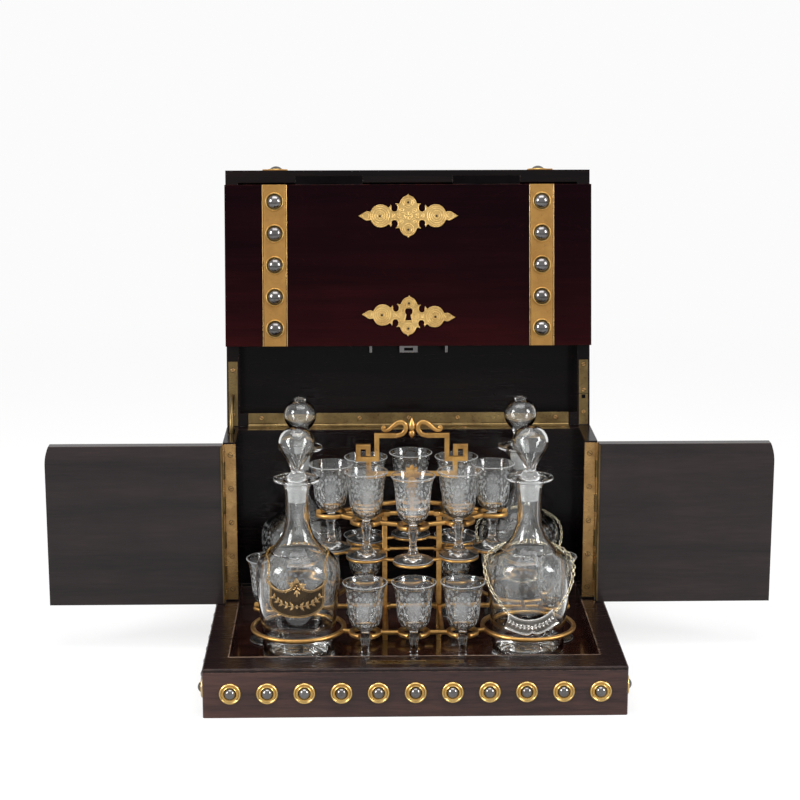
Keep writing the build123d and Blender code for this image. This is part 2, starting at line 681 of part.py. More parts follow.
handle_view = Plane((0, stand_y, post_top), x_dir=(1, 0, 0), z_dir=(0, -1, 0))
drop_x = handle_span / 2 - bar_width / 2
key_z = handle_height - handle_drop + bar_width / 2
step_x = drop_x + 1.5 * bar_width
stem_half = palmette_stem / 2
with BuildPart() as stand_handle:
    with BuildSketch(handle_view):
        with Locations((0, handle_height - bar_width / 2)):
            Rectangle(handle_span, bar_width)
        for side in (-1, 1):
            with Locations((side * drop_x, handle_height - handle_drop / 2)):
                Rectangle(bar_width, handle_drop)
            with Locations((side * (drop_x + key_width / 2 - bar_width / 2), key_z)):
                Rectangle(key_width, bar_width)
            with Locations((side * (step_x + key_width / 2 - 1),
                            key_z - bar_width / 2 - 0.5 + key_height / 2)):
                Rectangle(key_width, key_height)
                Rectangle(key_width - 2 * bar_width, bar_width, mode=Mode.SUBTRACT)
            with Locations((side * step_x, (key_z + palmette_height - 2 * bar_width) / 2)):
                Rectangle(bar_width, key_z - palmette_height + 2 * bar_width + bar_width * 0.9)
            with Locations((side * (step_x + stem_half) / 2, palmette_height - 2 * bar_width)):
                Rectangle(step_x - stem_half + 0.4, bar_width * 0.9)
            with BuildLine():
                Spline((side * 2, handle_height - 0.7), (side * 9, scroll_height - 3.1),
                       (side * 17, scroll_height), (side * 23.5, scroll_height - 3.1),
                       (side * 22, scroll_height - 7.8), (side * 18, scroll_height - 6.1))
            trace(line_width=scroll_width)
        with BuildLine():
            Spline((0, palmette_height), (stem_half + 0.9, palmette_height - 2.9),
                   (stem_half + 2, palmette_height - 8), (stem_half, palmette_height - 14))
            Line((stem_half, palmette_height - 14), (stem_half, 0))
            Line((stem_half, 0), (-stem_half, 0))
            Line((-stem_half, 0), (-stem_half, palmette_height - 14))
            Spline((-stem_half, palmette_height - 14), (-stem_half - 2, palmette_height - 8),
                   (-stem_half - 0.9, palmette_height - 2.9), (0, palmette_height))
        make_face()
    extrude(amount=handle_thickness / 2, both=True)
    with BuildSketch(handle_view):
        with BuildLine():
            Line((0, handle_height - 0.7), (3.2, handle_height - 0.7))
            Spline((3.2, handle_height - 0.7), (1.8, handle_height + 2.3), (4.4, bud_height - 7),
                   (1.6, bud_height - 2), (0, bud_height))
            Line((0, bud_height), (0, handle_height - 0.7))
        make_face()
    revolve(axis=Axis((0, stand_y, 0), (0, 0, 1)))
keep(stand_handle.part, "stand_handle")


# --- Glasses --------------------------------------------------------------

with BuildPart() as glass:
    with BuildSketch(Plane.XZ):
        with BuildLine():
            bowl = glass_stem_height
            rim = glass_rim_radius
            Polyline((0, 0), (glass_foot_radius, 0), (glass_foot_radius, 1.0),
                     (glass_foot_radius - 5.5, 2.4), (glass_stem_radius - 1.2, 5.0),
                     (glass_stem_radius - 1.4, 10.5), (glass_stem_radius, 14.5),
                     (glass_stem_radius - 1.6, 19.5), (glass_stem_radius - 0.6, bowl - 4.5),
                     (glass_stem_radius + 0.2, bowl - 0.6), (glass_stem_radius + 1.6, bowl))
            Spline((glass_stem_radius + 1.6, bowl), (glass_bowl_radius - 3.0, bowl + 5.5),
                   (glass_bowl_radius, bowl + 15), (glass_bowl_radius + 1.2, bowl + 28), (rim, glass_height))
            Line((rim, glass_height), (rim - 1.0, glass_height))
            Spline((rim - 1.0, glass_height), (glass_bowl_radius + 1.2 - glass_wall, bowl + 28),
                   (glass_bowl_radius - glass_wall, bowl + 15), (glass_bowl_radius - 5.6, bowl + 6.3),
                   (0, bowl + 3.4), tangents=((-0.3, -1), (-1, 0)))
            Line((0, bowl + 3.4), (0, 0))
        make_face()
    revolve(axis=Axis.Z)


def glasses(places, foot_z):
    return spread(glass.part, [(x, y + stand_y, foot_z + seat_gap) for x, y in places])


keep(glasses(lower_front, floor_z), "glasses_lower_front")
keep(glasses([lower_back[0], lower_back[2]], floor_z), "glasses_lower_back")
keep(glasses(lower_sides, floor_z), "glasses_lower_sides")
keep(glasses(upper_back, upper_foot_z), "glasses_upper_back")
keep(glasses(upper_front[:1], upper_foot_z), "glass_front_left")
keep(glasses(upper_front[1:2], upper_foot_z), "glass_front_centre")
keep(glasses(upper_front[2:], upper_foot_z), "glass_front_right")
keep(glasses(upper_sides[:1], upper_foot_z), "glass_side_left")
keep(glasses(upper_sides[1:], upper_foot_z), "glass_side_right")


# --- Decanters and stoppers -----------------------------------------------

joint_bottom_z = decanter_height - joint_depth
shoulder = decanter_shoulder_radius
ridge_top = decanter_ridge_radius - 0.8
ridge_top_z = decanter_ridge_z + 1.2


def neck_curve(in_share, up_share):
    """A point between the ridge and the neck, as shares of the way in and the way up."""
    return (ridge_top + (decanter_neck_radius - ridge_top) * in_share,
            ridge_top_z + (decanter_neck_z - ridge_top_z) * up_share)


low_neck = neck_curve(0.44, 0.26)
high_neck = neck_curve(0.855, 0.69)
with BuildPart() as decanter:
    with BuildSketch(Plane.XZ):
        with BuildLine():
            Line((0, 0), (decanter_base_radius - 1.2, 0))
            Line((decanter_base_radius - 1.2, 0), (decanter_base_radius, 1.5))
            Spline((decanter_base_radius, 1.5), (shoulder - 3.8, decanter_shoulder_z * 0.31),
                   (shoulder - 1.4, decanter_shoulder_z * 0.64), (shoulder, decanter_shoulder_z),
                   (shoulder - 1.4, decanter_shoulder_z + 11),
                   (decanter_ridge_radius + 1.2, decanter_ridge_z))
            Line((decanter_ridge_radius + 1.2, decanter_ridge_z), (ridge_top, ridge_top_z))
            Spline((ridge_top, ridge_top_z), low_neck, high_neck, (decanter_neck_radius, decanter_neck_z),
                   (decanter_mouth_radius, decanter_height - 8),
                   (decanter_lip_radius, decanter_height - decanter_lip_thickness))
            Polyline((decanter_lip_radius, decanter_height - decanter_lip_thickness),
                     (decanter_lip_radius, decanter_height - 0.8),
                     (decanter_lip_radius - 1, decanter_height),
                     (joint_top_radius, decanter_height), (joint_bottom_radius, joint_bottom_z))
            Spline((joint_bottom_radius, joint_bottom_z),
                   (decanter_neck_radius - decanter_wall, decanter_neck_z - 4),
                   (low_neck[0] - decanter_wall, low_neck[1]),
                   (decanter_ridge_radius - decanter_wall, decanter_ridge_z),
                   (shoulder - 1.6 - decanter_wall, decanter_shoulder_z + 10),
                   (shoulder - decanter_wall, decanter_shoulder_z),
                   (shoulder - 1.4 - decanter_wall, decanter_shoulder_z * 0.64),
                   (decanter_base_radius + 2 - decanter_wall, decanter_bottom + 10))
            Spline((decanter_base_radius + 2 - decanter_wall, decanter_bottom + 10),
                   (decanter_base_radius - 1.5 - decanter_wall, decanter_bottom + 1), (0, decanter_bottom),
                   tangents=((-0.2, -1), (-1, 0)))
            Line((0, decanter_bottom), (0, 0))
        make_face()
    revolve(axis=Axis.Z)


def stopper(profile):
    """A solid glass stopper whose ground stem fits the mouth; Z = 0 is the top of the lip."""
    stem_top = joint_top_radius - joint_clearance
    stem_bottom = joint_bottom_radius - joint_clearance
    with BuildPart() as piece:
        with BuildSketch(Plane.XZ):
            with BuildLine():
                Polyline((0, -joint_depth), (stem_bottom, -joint_depth), (stem_top, 0), (stem_top, 1),
                         (stopper_stem_radius, 3), (stopper_stem_radius, 6))
                Spline((stopper_stem_radius, 6), *profile)
                Line(profile[-1], (0, profile[-1][1]))
                Line((0, profile[-1][1]), (0, -joint_depth))
            make_face()
        revolve(axis=Axis.Z)
    return piece.part


teardrop = stopper([(stopper_radius - 3.2, 18), (stopper_radius, 28.5), (stopper_radius - 3.4, 36.8),
                    (3.0, stopper_height)])
ball = stopper([(stopper_radius - 4, 17.5), (stopper_radius - 0.4, 27), (stopper_radius - 4.2, 36.5),
                (5.0, stopper_height - 0.6), (4.6, stopper_height + 1.6)])
places = ["front_left", "front_right", "rear_left", "rear_right"]
decanter_bottoms = [(x, y + stand_y, floor_z + seat_gap) for x, y in decanter_places]
for name, (x, y, z) in zip(places, decanter_bottoms):
    shape = teardrop if name.startswith("front") else ball
    keep(decanter.part.moved(Location((x, y, z))), f"decanter_{name}")
    keep(shape.moved(Location((x, y, z + decanter_height))), f"stopper_{name}")


# --- Bottle labels and chains ---------------------------------------------

def label(place, height, turn, inner, outline):
    """A thin plate bent round the decanter at `place`, cut to the outline."""
    x, y, _ = place
    with BuildPart() as plate:
        with BuildSketch(Plane((x, y, height), x_dir=(1, 0, 0), z_dir=(0, -1, 0))):
            add(outline, rotation=turn)
        extrude(amount=60)
        with Locations((x, y, height)):
            Cylinder(inner + label_thickness, 80, mode=Mode.INTERSECT)
            Cylinder(inner, 80, mode=Mode.SUBTRACT)
    return plate.part


with BuildSketch() as crest:
    with BuildLine():
        Spline((24, 14.5), (22.3, 9), (22.3, -1), (20.5, -8.5), (12, -13.6), (0, -15),
               (-12, -13.6), (-20.5, -8.5), (-22.3, -1), (-22.3, 9), (-24, 14.5))
        Spline((-24, 14.5), (-19.5, 10), (-12, 7.6), (-5.5, 9.8), (-2.6, 14))
        Spline((-2.6, 14), (0, 18.2), (2.6, 14))
        Spline((2.6, 14), (5.5, 9.8), (12, 7.6), (19.5, 10), (24, 14.5))
    make_face()
with BuildSketch() as banner:
    with BuildLine():
        ThreePointArc((-18, 8.5), (0, 2.6), (18, 8.5))
        Spline((18, 8.5), (19.2, 1.5), (22.5, -4.2))
        Spline((22.5, -4.2), (11, -8.4), (4, -10), (0, -8.2))
        Spline((0, -8.2), (-4, -10), (-11, -8.4), (-22.5, -4.2))
        Spline((-22.5, -4.2), (-19.2, 1.5), (-18, 8.5))
    make_face()
left_label_z = 86.7
right_label_z = 65.6
right_label_tilt = 5.0
left_label_radius = decanter_shoulder_radius + label_clearance
right_label_radius = left_label_radius - right_label_taper
keep(label(decanter_bottoms[0], left_label_z, 0, left_label_radius, crest.sketch), "label_left")
keep(label(decanter_bottoms[1], right_label_z, right_label_tilt, right_label_radius, banner.sketch),
     "label_right")


def chain(place, radius, points):
    """A cord through (angle from the front, radius, height) points, the same on both sides."""
    x, y, _ = place
    route = ([(-turn, reach, z) for turn, reach, z in points]
             + [(turn, reach, z) for turn, reach, z in points[-2::-1]])
    with BuildPart() as cord:
        with BuildLine() as path:
            Spline(*[(x + reach * sin(radians(turn)), y - reach * cos(radians(turn)), z)
                     for turn, reach, z in route])
        with BuildSketch(Plane(path.line @ 0, z_dir=path.line % 0)):
            Circle(radius)
        sweep()
    return cord.part


left_chain_end = left_label_radius + label_thickness + left_chain_radius + label_clearance
right_chain_end = right_label_radius + label_thickness + right_chain_radius + label_clearance
keep(chain(decanter_bottoms[0], left_chain_radius,
           [(36, left_chain_end, 98.2), (42, 37.6, 103.5), (54, 35.6, 111.5), (80, 28.4, 119.5),
            (130, 21.5, 124.5), (180, 20, 126)]),
     "chain_left")
keep(chain(decanter_bottoms[1], right_chain_radius,
           [(28, right_chain_end, 72), (40, 37.6, 78), (60, 37.1, 88), (82, 36.6, 103), (112, 28.6, 118.5),
            (180, 22.5, 123.5)]),
     "chain_right")
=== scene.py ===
import bpy
import math
import random
from mathutils import Matrix, Vector


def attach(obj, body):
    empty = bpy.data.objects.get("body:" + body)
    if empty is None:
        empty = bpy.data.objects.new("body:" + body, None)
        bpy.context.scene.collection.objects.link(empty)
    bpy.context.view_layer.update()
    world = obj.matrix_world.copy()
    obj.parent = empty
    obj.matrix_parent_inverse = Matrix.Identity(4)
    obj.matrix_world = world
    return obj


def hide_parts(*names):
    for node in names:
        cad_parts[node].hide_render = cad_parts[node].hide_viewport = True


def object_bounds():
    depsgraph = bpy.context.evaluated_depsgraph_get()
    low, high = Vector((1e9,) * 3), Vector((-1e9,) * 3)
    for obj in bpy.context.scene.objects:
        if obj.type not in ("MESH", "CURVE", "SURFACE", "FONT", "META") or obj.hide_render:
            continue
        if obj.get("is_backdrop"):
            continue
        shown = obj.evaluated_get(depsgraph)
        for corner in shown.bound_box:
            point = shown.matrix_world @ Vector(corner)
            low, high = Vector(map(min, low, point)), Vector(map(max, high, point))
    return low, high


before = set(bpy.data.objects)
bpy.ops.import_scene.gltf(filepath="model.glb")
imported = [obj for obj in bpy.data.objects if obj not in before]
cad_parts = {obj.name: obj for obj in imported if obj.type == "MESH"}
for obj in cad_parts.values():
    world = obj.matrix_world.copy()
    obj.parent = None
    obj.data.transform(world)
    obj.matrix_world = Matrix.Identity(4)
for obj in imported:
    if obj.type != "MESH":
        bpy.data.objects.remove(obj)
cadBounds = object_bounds()
mm = 0.001
print("frame loaded")

# Places shared with the solids, in millimetres
chest = {
    "bodyFront": -113.0, "hingeFace": 53.0, "lidPinY": 114.2, "pinZ": 184.25, "lidAngle": 100.0,
    "flapPinY": -99.7, "trimX": 118.0, "trimFront": -114.0, "standY": 4.0, "floorZ": 22.0,
    "upperFloorZ": 104.0, "seatGap": 0.25,
}


def turnAbout(axis, degrees, point):
    centre = Vector(point)
    turn = Matrix.Rotation(math.radians(degrees), 4, axis)
    return Matrix.Translation(centre) @ turn @ Matrix.Translation(-centre)


lidTurn = turnAbout("X", -chest["lidAngle"], (0, chest["lidPinY"], chest["pinZ"]))
flapTurn = lidTurn @ turnAbout("X", 90, (0, chest["flapPinY"], chest["pinZ"]))
standShift = Matrix.Translation((0, chest["standY"], 0))


# Mesh tools. Everything is drawn in millimetres and scaled once.
class Bag:
    def __init__(self):
        self.verts, self.faces, self.uvs = [], [], []

    def add(self, part, matrix=Matrix.Identity(4)):
        verts, faces, uvs = part
        first = len(self.verts)
        flipped = matrix.determinant() < 0
        self.verts += [matrix @ Vector(v) for v in verts]
        for i, face in enumerate(faces):
            loop = uvs[i] if uvs else [(0, 0)] * len(face)
            order = list(face)[::-1] if flipped else list(face)
            self.faces.append([first + k for k in order])
            self.uvs.append(list(loop)[::-1] if flipped else list(loop))
        return self

    def piece(self, name, material, body, slot, sharp=35, stands=()):
        mesh = bpy.data.meshes.new(name)
        mesh.from_pydata([v * mm for v in self.verts], [], self.faces)
        layer = mesh.uv_layers.new(name="UVMap")
        layer.data.foreach_set("uv", [c for loop in self.uvs for uv in loop for c in uv])
        mesh.polygons.foreach_set("use_smooth", [True] * len(mesh.polygons))
        mesh.set_sharp_from_angle(angle=math.radians(sharp))
        mesh.materials.append(material)
        obj = bpy.data.objects.new(name, mesh)
        bpy.context.scene.collection.objects.link(obj)
        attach(obj, body)
        if stands:
            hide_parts(*stands)
        return obj


def lathe(profile, segments=64):
    verts, faces, uvs, rings = [], [], [], []
    turns = [2 * math.pi * k / segments for k in range(segments)]
    length = [0.0]
    for a, b in zip(profile, profile[1:]):
        length.append(length[-1] + math.dist(a, b))
    for r, z in profile:
        if r < 1e-6:
            rings.append([len(verts)])
            verts.append((0, 0, z))
        else:
            rings.append(list(range(len(verts), len(verts) + segments)))
            verts += [(r * math.cos(turn), r * math.sin(turn), z) for turn in turns]
    for i in range(len(profile) - 1):
        low, high = rings[i], rings[i + 1]
        v0, v1 = length[i] / length[-1], length[i + 1] / length[-1]
        for k in range(segments):
            n = (k + 1) % segments
            u0, u1 = k / segments, (k + 1) / segments
            if len(low) == 1 and len(high) > 1:
                faces.append((low[0], high[n], high[k]))
                uvs.append(((u0, v0), (u1, v1), (u0, v1)))
            elif len(high) == 1 and len(low) > 1:
                faces.append((low[k], low[n], high[0]))
                uvs.append(((u0, v0), (u1, v0), (u0, v1)))
            elif len(low) > 1:
                faces.append((low[k], low[n], high[n], high[k]))
                uvs.append(((u0, v0), (u1, v0), (u1, v1), (u0, v1)))
    return verts, faces, uvs


def smoothLine(points, steps=6):
    # Catmull-Rom through the points, in any number of dimensions
    line = []
    last = len(points) - 1
    for i in range(last):
        p0, p1, p2, p3 = points[max(i - 1, 0)], points[i], points[i + 1], points[min(i + 2, last)]
        for s in range(steps):
            t = s / steps
            line.append(tuple(0.5 * (2 * b + (c - a) * t + (2 * a - 5 * b + 4 * c - d) * t * t
                                     + (3 * b - a - 3 * c + d) * t ** 3)
                              for a, b, c, d in zip(p0, p1, p2, p3)))
    line.append(tuple(points[-1]))
    return line


def roundBar(width, height, corner=1.0, steps=3):
    section = []
    for cx, cy, start in ((1, 1, 0), (-1, 1, 90), (-1, -1, 180), (1, -1, 270)):
        for s in range(steps + 1):
            turn = math.radians(start + 90 * s / steps)
            section.append((cx * (width / 2 - corner) + corner * math.cos(turn),
                            cy * (height / 2 - corner) + corner * math.sin(turn)))
    return section


def sweep(points, section, closed=False, up=(0, 0, 1), ends=None):
    # The section's first axis lies across the path, its second along `up`
    path = [Vector(p) for p in points]
    count, verts, faces = len(path), [], []
    for i, point in enumerate(path):
        before = path[i - 1] if closed or i > 0 else path[i]
        after = path[(i + 1) % count] if closed or i < count - 1 else path[i]
        along = (after - before).normalized()
        across = along.cross(Vector(up))
        across = across.normalized() if across.length > 1e-6 else Vector((1, 0, 0))
        lift = across.cross(along).normalized()
        # widen at a corner so that the bar keeps its width
        turnIn = (point - before).normalized() if point != before else along
        widen = 1 / max(0.5, turnIn.dot(along))
        grow = 1.0 if ends is None else ends[i]
        verts += [point + across * a * widen * grow + lift * b * grow for a, b in section]
    size = len(section)
    for i in range(count if closed else count - 1):
        j = (i + 1) % count
        for k in range(size):
            n = (k + 1) % size
            faces.append((i * size + k, j * size + k, j * size + n, i * size + n))
    if not closed:
        faces.append(tuple(range(size)))
        faces.append(tuple((count - 1) * size + k for k in reversed(range(size))))
    return verts, faces, None


def arcPoints(radius, start, stop, steps, centre=(0, 0), z=0.0):
    turns = [math.radians(start + (stop - start) * s / steps) for s in range(steps + 1)]
    return [(centre[0] + radius * math.cos(turn), centre[1] + radius * math.sin(turn), z) for turn in turns]


def cutPlate(outlines, depth, bevel, steps=2):
    # A flat plate from closed outlines in XY, holes included, its back at z = 0
    curve = bpy.data.curves.new("plateOutline", "CURVE")
    curve.dimensions = "2D"
    curve.fill_mode = "BOTH"
    curve.extrude = depth / 2 - bevel
    curve.bevel_depth = bevel
    curve.bevel_resolution = steps
    curve.offset = -bevel
    for outline in outlines:
        spline = curve.splines.new("POLY")
        spline.points.add(len(outline) - 1)
        for point, (x, y) in zip(spline.points, outline):
            point.co = (x, y, 0, 1)
        spline.use_cyclic_u = True
    holder = bpy.data.objects.new("plateOutline", curve)
    mesh = bpy.data.meshes.new_from_object(holder)
    verts = [(v.co.x, v.co.y, v.co.z + depth / 2) for v in mesh.vertices]
    faces = [tuple(p.vertices) for p in mesh.polygons]
    bpy.data.objects.remove(holder)
    bpy.data.curves.remove(curve)
    bpy.data.meshes.remove(mesh)
    return verts, faces, None


def facingFront(x, y, z):
    # local Z out of a face that looks towards -Y, local Y up
    return Matrix.Translation((x, y, z)) @ Matrix.Rotation(math.radians(90), 4, "X")


# Shader groups
def newGroup(name, inputs, outputs):
    group = bpy.data.node_groups.new(name, "ShaderNodeTree")
    for label, kind, value in inputs:
        socket = group.interface.new_socket(name=label, in_out="INPUT", socket_type="NodeSocket" + kind)
        if value is not None:
            socket.default_value = value
    for label, kind in outputs:
        group.interface.new_socket(name=label, in_out="OUTPUT", socket_type="NodeSocket" + kind)
    return group


class Tree:
    def __init__(self, tree):
        self.tree = tree

    def node(self, kind, **values):
        made = self.tree.nodes.new("ShaderNode" + kind)
        for key, value in values.items():
            setattr(made, key, value)
        return made

    def join(self, source, target):
        self.tree.links.new(source, target)
        return target

    def feed(self, node, **inputs):
        for key, value in inputs.items():
            socket = node.inputs[int(key[1:])] if key[0] == "i" and key[1:].isdigit() else node.inputs[key]
            if isinstance(value, bpy.types.NodeSocket):
                self.join(value, socket)
            else:
                socket.default_value = value
        return node

    def math(self, operation, a, b=0.0, c=0.0, clamp=False):
        made = self.node("Math", operation=operation, use_clamp=clamp)
        return self.feed(made, i0=a, i1=b, i2=c).outputs[0]

    def mix(self, factor, a, b, blend="MIX"):
        made = self.node("Mix", data_type="RGBA", blend_type=blend)
        self.feed(made, i0=factor, i6=a, i7=b)
        return made.outputs[2]

    def stretch(self, vector, scale):
        made = self.node("VectorMath", operation="MULTIPLY")
        return self.feed(made, i0=vector, i1=scale).outputs[0]

    def noise(self, vector, scale, detail=3.0, rough=0.5, warp=0.0):
        made = self.node("TexNoise")
        self.feed(made, Vector=vector, Scale=scale, Detail=detail, Roughness=rough, Distortion=warp)
        return made.outputs[0]

    def ramp(self, value, low, high, outLow=0.0, outHigh=1.0):
        made = self.node("MapRange", clamp=True)
        return self.feed(made, i0=value, i1=low, i2=high, i3=outLow, i4=outHigh).outputs[0]


def groupEnds(group):
    tree = Tree(group)
    return tree, tree.tree.nodes.new("NodeGroupInput").outputs, tree.tree.nodes.new("NodeGroupOutput").inputs


def makeWoodGrain():
    group = newGroup("woodGrain", [("Vector", "Vector", None), ("Stretch", "Vector", (4.0, 60.0, 60.0)),
                                   ("Dark", "Color", (0.01, 0.005, 0.005, 1)),
                                   ("Light", "Color", (0.06, 0.02, 0.015, 1)), ("Figure", "Float", 0.6)],
                     [("Color", "Color"), ("Polish", "Float"), ("Height", "Float")])
    t, use, out = groupEnds(group)
    along = t.node("VectorMath", operation="MULTIPLY")
    t.feed(along, i0=use["Vector"], i1=use["Stretch"])
    broad = t.noise(along.outputs[0], 1.0, 4.0, 0.55, 0.4)
    fine = t.noise(along.outputs[0], 9.0, 4.0, 0.65, 0.1)
    pores = t.noise(t.stretch(along.outputs[0], (1.2, 14.0, 14.0)), 3.0, 1.0, 0.5)
    cloud = t.noise(use["Vector"], 14.0, 3.0, 0.6)
    streak = t.math("ADD", t.math("MULTIPLY", t.ramp(broad, 0.36, 0.66), 0.6),
                    t.math("MULTIPLY", t.ramp(fine, 0.35, 0.7), 0.4))
    figure = t.math("MULTIPLY", streak, use["Figure"])
    patch = t.math("MULTIPLY", figure, t.ramp(cloud, 0.3, 0.7, 0.45, 1.15))
    t.join(t.mix(patch, use["Dark"], use["Light"]), out["Color"])
    t.join(t.ramp(fine, 0.3, 0.7, 0.09, 0.2), out["Polish"])
    t.join(t.math("ADD", t.math("MULTIPLY", fine, 0.5), t.ramp(pores, 0.3, 0.42, 0.0, 0.5)), out["Height"])
    return group


# Edge mask from the Bevel normal: edges are painted lighter, partly wear and partly a painted highlight along
# the arris
def makeEdgeWearAndHighlight():
    group = newGroup("edgeWearAndHighlight", [("Vector", "Vector", None), ("Radius", "Float", 0.0012),
                                 ("Amount", "Float", 1.0)],
                     [("Mask", "Float"), ("Normal", "Vector")])
    t, use, out = groupEnds(group)
    soft = t.node("Bevel", samples=6)
    t.join(use["Radius"], soft.inputs["Radius"])
    flat = t.node("NewGeometry")
    same = t.node("VectorMath", operation="DOT_PRODUCT")
    t.feed(same, i0=soft.outputs[0], i1=flat.outputs["Normal"])
    edge = t.ramp(same.outputs["Value"], 0.995, 0.8)
    broken = t.ramp(t.noise(use["Vector"], 160.0, 4.0, 0.6), 0.38, 0.62)
    t.join(t.math("MULTIPLY", t.math("MULTIPLY", edge, broken), use["Amount"], clamp=True), out["Mask"])
    t.join(soft.outputs[0], out["Normal"])
    return group


def makeFineScratches():
    group = newGroup("fineScratches", [("Vector", "Vector", None), ("Amount", "Float", 0.5)],
                     [("Mask", "Float")])
    t, use, out = groupEnds(group)
    marks = None
    for angle, stretch in ((0.5, (2.2, 900.0, 900.0)), (-0.9, (3.1, 700.0, 700.0))):
        turn = t.node("VectorRotate", rotation_type="Y_AXIS")
        t.feed(turn, Vector=use["Vector"], Angle=angle)
        line = t.ramp(t.noise(t.stretch(turn.outputs[0], stretch), 1.0, 1.0, 0.4), 0.735, 0.76)
        gate = t.ramp(t.noise(turn.outputs[0], 9.0, 1.0, 0.5), 0.5, 0.62)
        mark = t.math("MULTIPLY", line, gate)
        marks = mark if marks is None else t.math("MAXIMUM", marks, mark)
    t.join(t.math("MULTIPLY", marks, use["Amount"], clamp=True), out["Mask"])
    return group


def makeOldMetal():
    group = newGroup("oldMetal", [("Vector", "Vector", None), ("Grain", "Vector", (40.0, 900.0, 900.0)),
                                  ("Clean", "Color", (0.8, 0.6, 0.3, 1)),
                                  ("Dull", "Color", (0.3, 0.18, 0.07, 1)), ("Tarnish", "Float", 0.5),
                                  ("Rough Low", "Float", 0.2), ("Rough High", "Float", 0.45)],
                     [("Color", "Color"), ("Roughness", "Float"), ("Height", "Float")])
    t, use, out = groupEnds(group)
    brushed = t.node("VectorMath", operation="MULTIPLY")
    t.feed(brushed, i0=use["Vector"], i1=use["Grain"])
    lines = t.noise(brushed.outputs[0], 1.0, 3.0, 0.6)
    cloud = t.noise(use["Vector"], 55.0, 5.0, 0.62, 0.3)
    spots = t.ramp(t.noise(use["Vector"], 420.0, 2.0, 0.5), 0.6, 0.72)
    dull = t.math("MULTIPLY", t.math("ADD", t.ramp(cloud, 0.38, 0.68), t.math("MULTIPLY", spots, 0.5)),
                  use["Tarnish"], clamp=True)
    t.join(t.mix(dull, use["Clean"], use["Dull"]), out["Color"])
    rough = t.node("MapRange")
    t.feed(rough, i0=t.math("ADD", t.math("MULTIPLY", lines, 0.6), t.math("MULTIPLY", dull, 0.6)), i1=0.2,
           i2=0.9, i3=use["Rough Low"], i4=use["Rough High"])
    t.join(rough.outputs[0], out["Roughness"])
    t.join(t.math("ADD", lines, t.math("MULTIPLY", cloud, 0.4)), out["Height"])
    return group


def makeEngraving():
    # Wheel-cut flowers between two lines, with clear-edged frosted ovals, drawn on the turned surface
    group = newGroup("engraving", [("Around", "Float", None), ("Up", "Float", None), ("Low", "Float", 0.2),
                                   ("High", "Float", 0.3), ("Repeats", "Float", 8.0), ("Ovals", "Float", 3.0),
                                   ("Oval Width", "Float", 0.05)], [("Mask", "Float"), ("Cut", "Float")])
    t, use, out = groupEnds(group)
    height = t.node("MapRange", clamp=False)
    t.feed(height, i0=use["Up"], i1=use["Low"], i2=use["High"], i3=0.0, i4=1.0)
    v = height.outputs[0]
    inside = t.math("MULTIPLY", t.math("GREATER_THAN", v, 0.0), t.math("LESS_THAN", v, 1.0))
    turns = t.math("MULTIPLY", use["Around"], use["Repeats"])
    wave = t.math("MULTIPLY", t.math("SINE", t.math("MULTIPLY", turns, 2 * math.pi)), 0.17)
    off = t.math("ABSOLUTE", t.math("SUBTRACT", t.math("SUBTRACT", v, 0.5), wave))
    stem = t.ramp(off, 0.0, 0.035, 1.0, 0.0)
    place = t.node("CombineXYZ")
    t.feed(place, X=t.math("MULTIPLY", turns, 1.6), Y=t.math("MULTIPLY", v, 2.6), Z=0.0)
    petals = t.node("TexVoronoi", voronoi_dimensions="2D", feature="F1")
    t.feed(petals, Vector=place.outputs[0], Scale=2.1, Randomness=0.75)
    petal = t.ramp(petals.outputs["Distance"], 0.2, 0.27, 1.0, 0.0)
    heart = t.ramp(petals.outputs["Distance"], 0.07, 0.1)
    veins = t.node("TexVoronoi", voronoi_dimensions="2D", feature="DISTANCE_TO_EDGE")
    t.feed(veins, Vector=place.outputs[0], Scale=6.5, Randomness=1.0)
    veined = t.math("MULTIPLY", heart, t.ramp(veins.outputs["Distance"], 0.02, 0.1))
    leaf = t.math("MULTIPLY", petal, veined)
    ovalTurn = t.math("SUBTRACT", t.math("FRACT", t.math("MULTIPLY", use["Around"], use["Ovals"])), 0.5)
    ovalX = t.math("DIVIDE", ovalTurn, t.math("MULTIPLY", use["Ovals"], use["Oval Width"]))
    ovalY = t.math("DIVIDE", t.math("SUBTRACT", v, 0.5), 0.31)
    square = t.math("ADD", t.math("POWER", t.math("ABSOLUTE", ovalX), 3.0),
                    t.math("POWER", t.math("ABSOLUTE", ovalY), 3.0))
    frost = t.ramp(square, 0.8, 1.0, 0.36, 0.0)
    clear = t.ramp(square, 1.0, 1.35)
    flowers = t.math("MULTIPLY", t.math("MULTIPLY", t.math("MAXIMUM", leaf, stem), clear), inside)
    mask = t.math("MAXIMUM", flowers, t.math("MULTIPLY", frost, inside))
    t.join(mask, out["Mask"])
    t.join(t.math("MULTIPLY", mask, -1.0), out["Cut"])
    return group


groups = {"wood": makeWoodGrain(), "edge": makeEdgeWearAndHighlight(), "scratch": makeFineScratches(),
          "metal": makeOldMetal(), "engraving": makeEngraving()}
print("shader groups made")


def newMaterial(name):
    material = bpy.data.materials.new(name)
    material.use_nodes = True
    tree = Tree(material.node_tree)
    shader = material.node_tree.nodes["Principled BSDF"]
    return material, tree, shader, tree.node("TexCoord").outputs["Object"]


def useGroup(tree, key, **inputs):
    made = tree.node("Group", node_tree=groups[key])
    for label, value in inputs.items():
        socket = made.inputs[label.replace("_", " ")]
        if isinstance(value, bpy.types.NodeSocket):
            tree.join(value, socket)
        else:
            socket.default_value = value
    return made.outputs


def bumpFrom(tree, height, strength, distance, normal=None):
    made = tree.node("Bump")
    tree.feed(made, Height=height, Strength=strength, Distance=distance)
    if normal is not None:
        tree.join(normal, made.inputs["Normal"])
    return made.outputs[0]
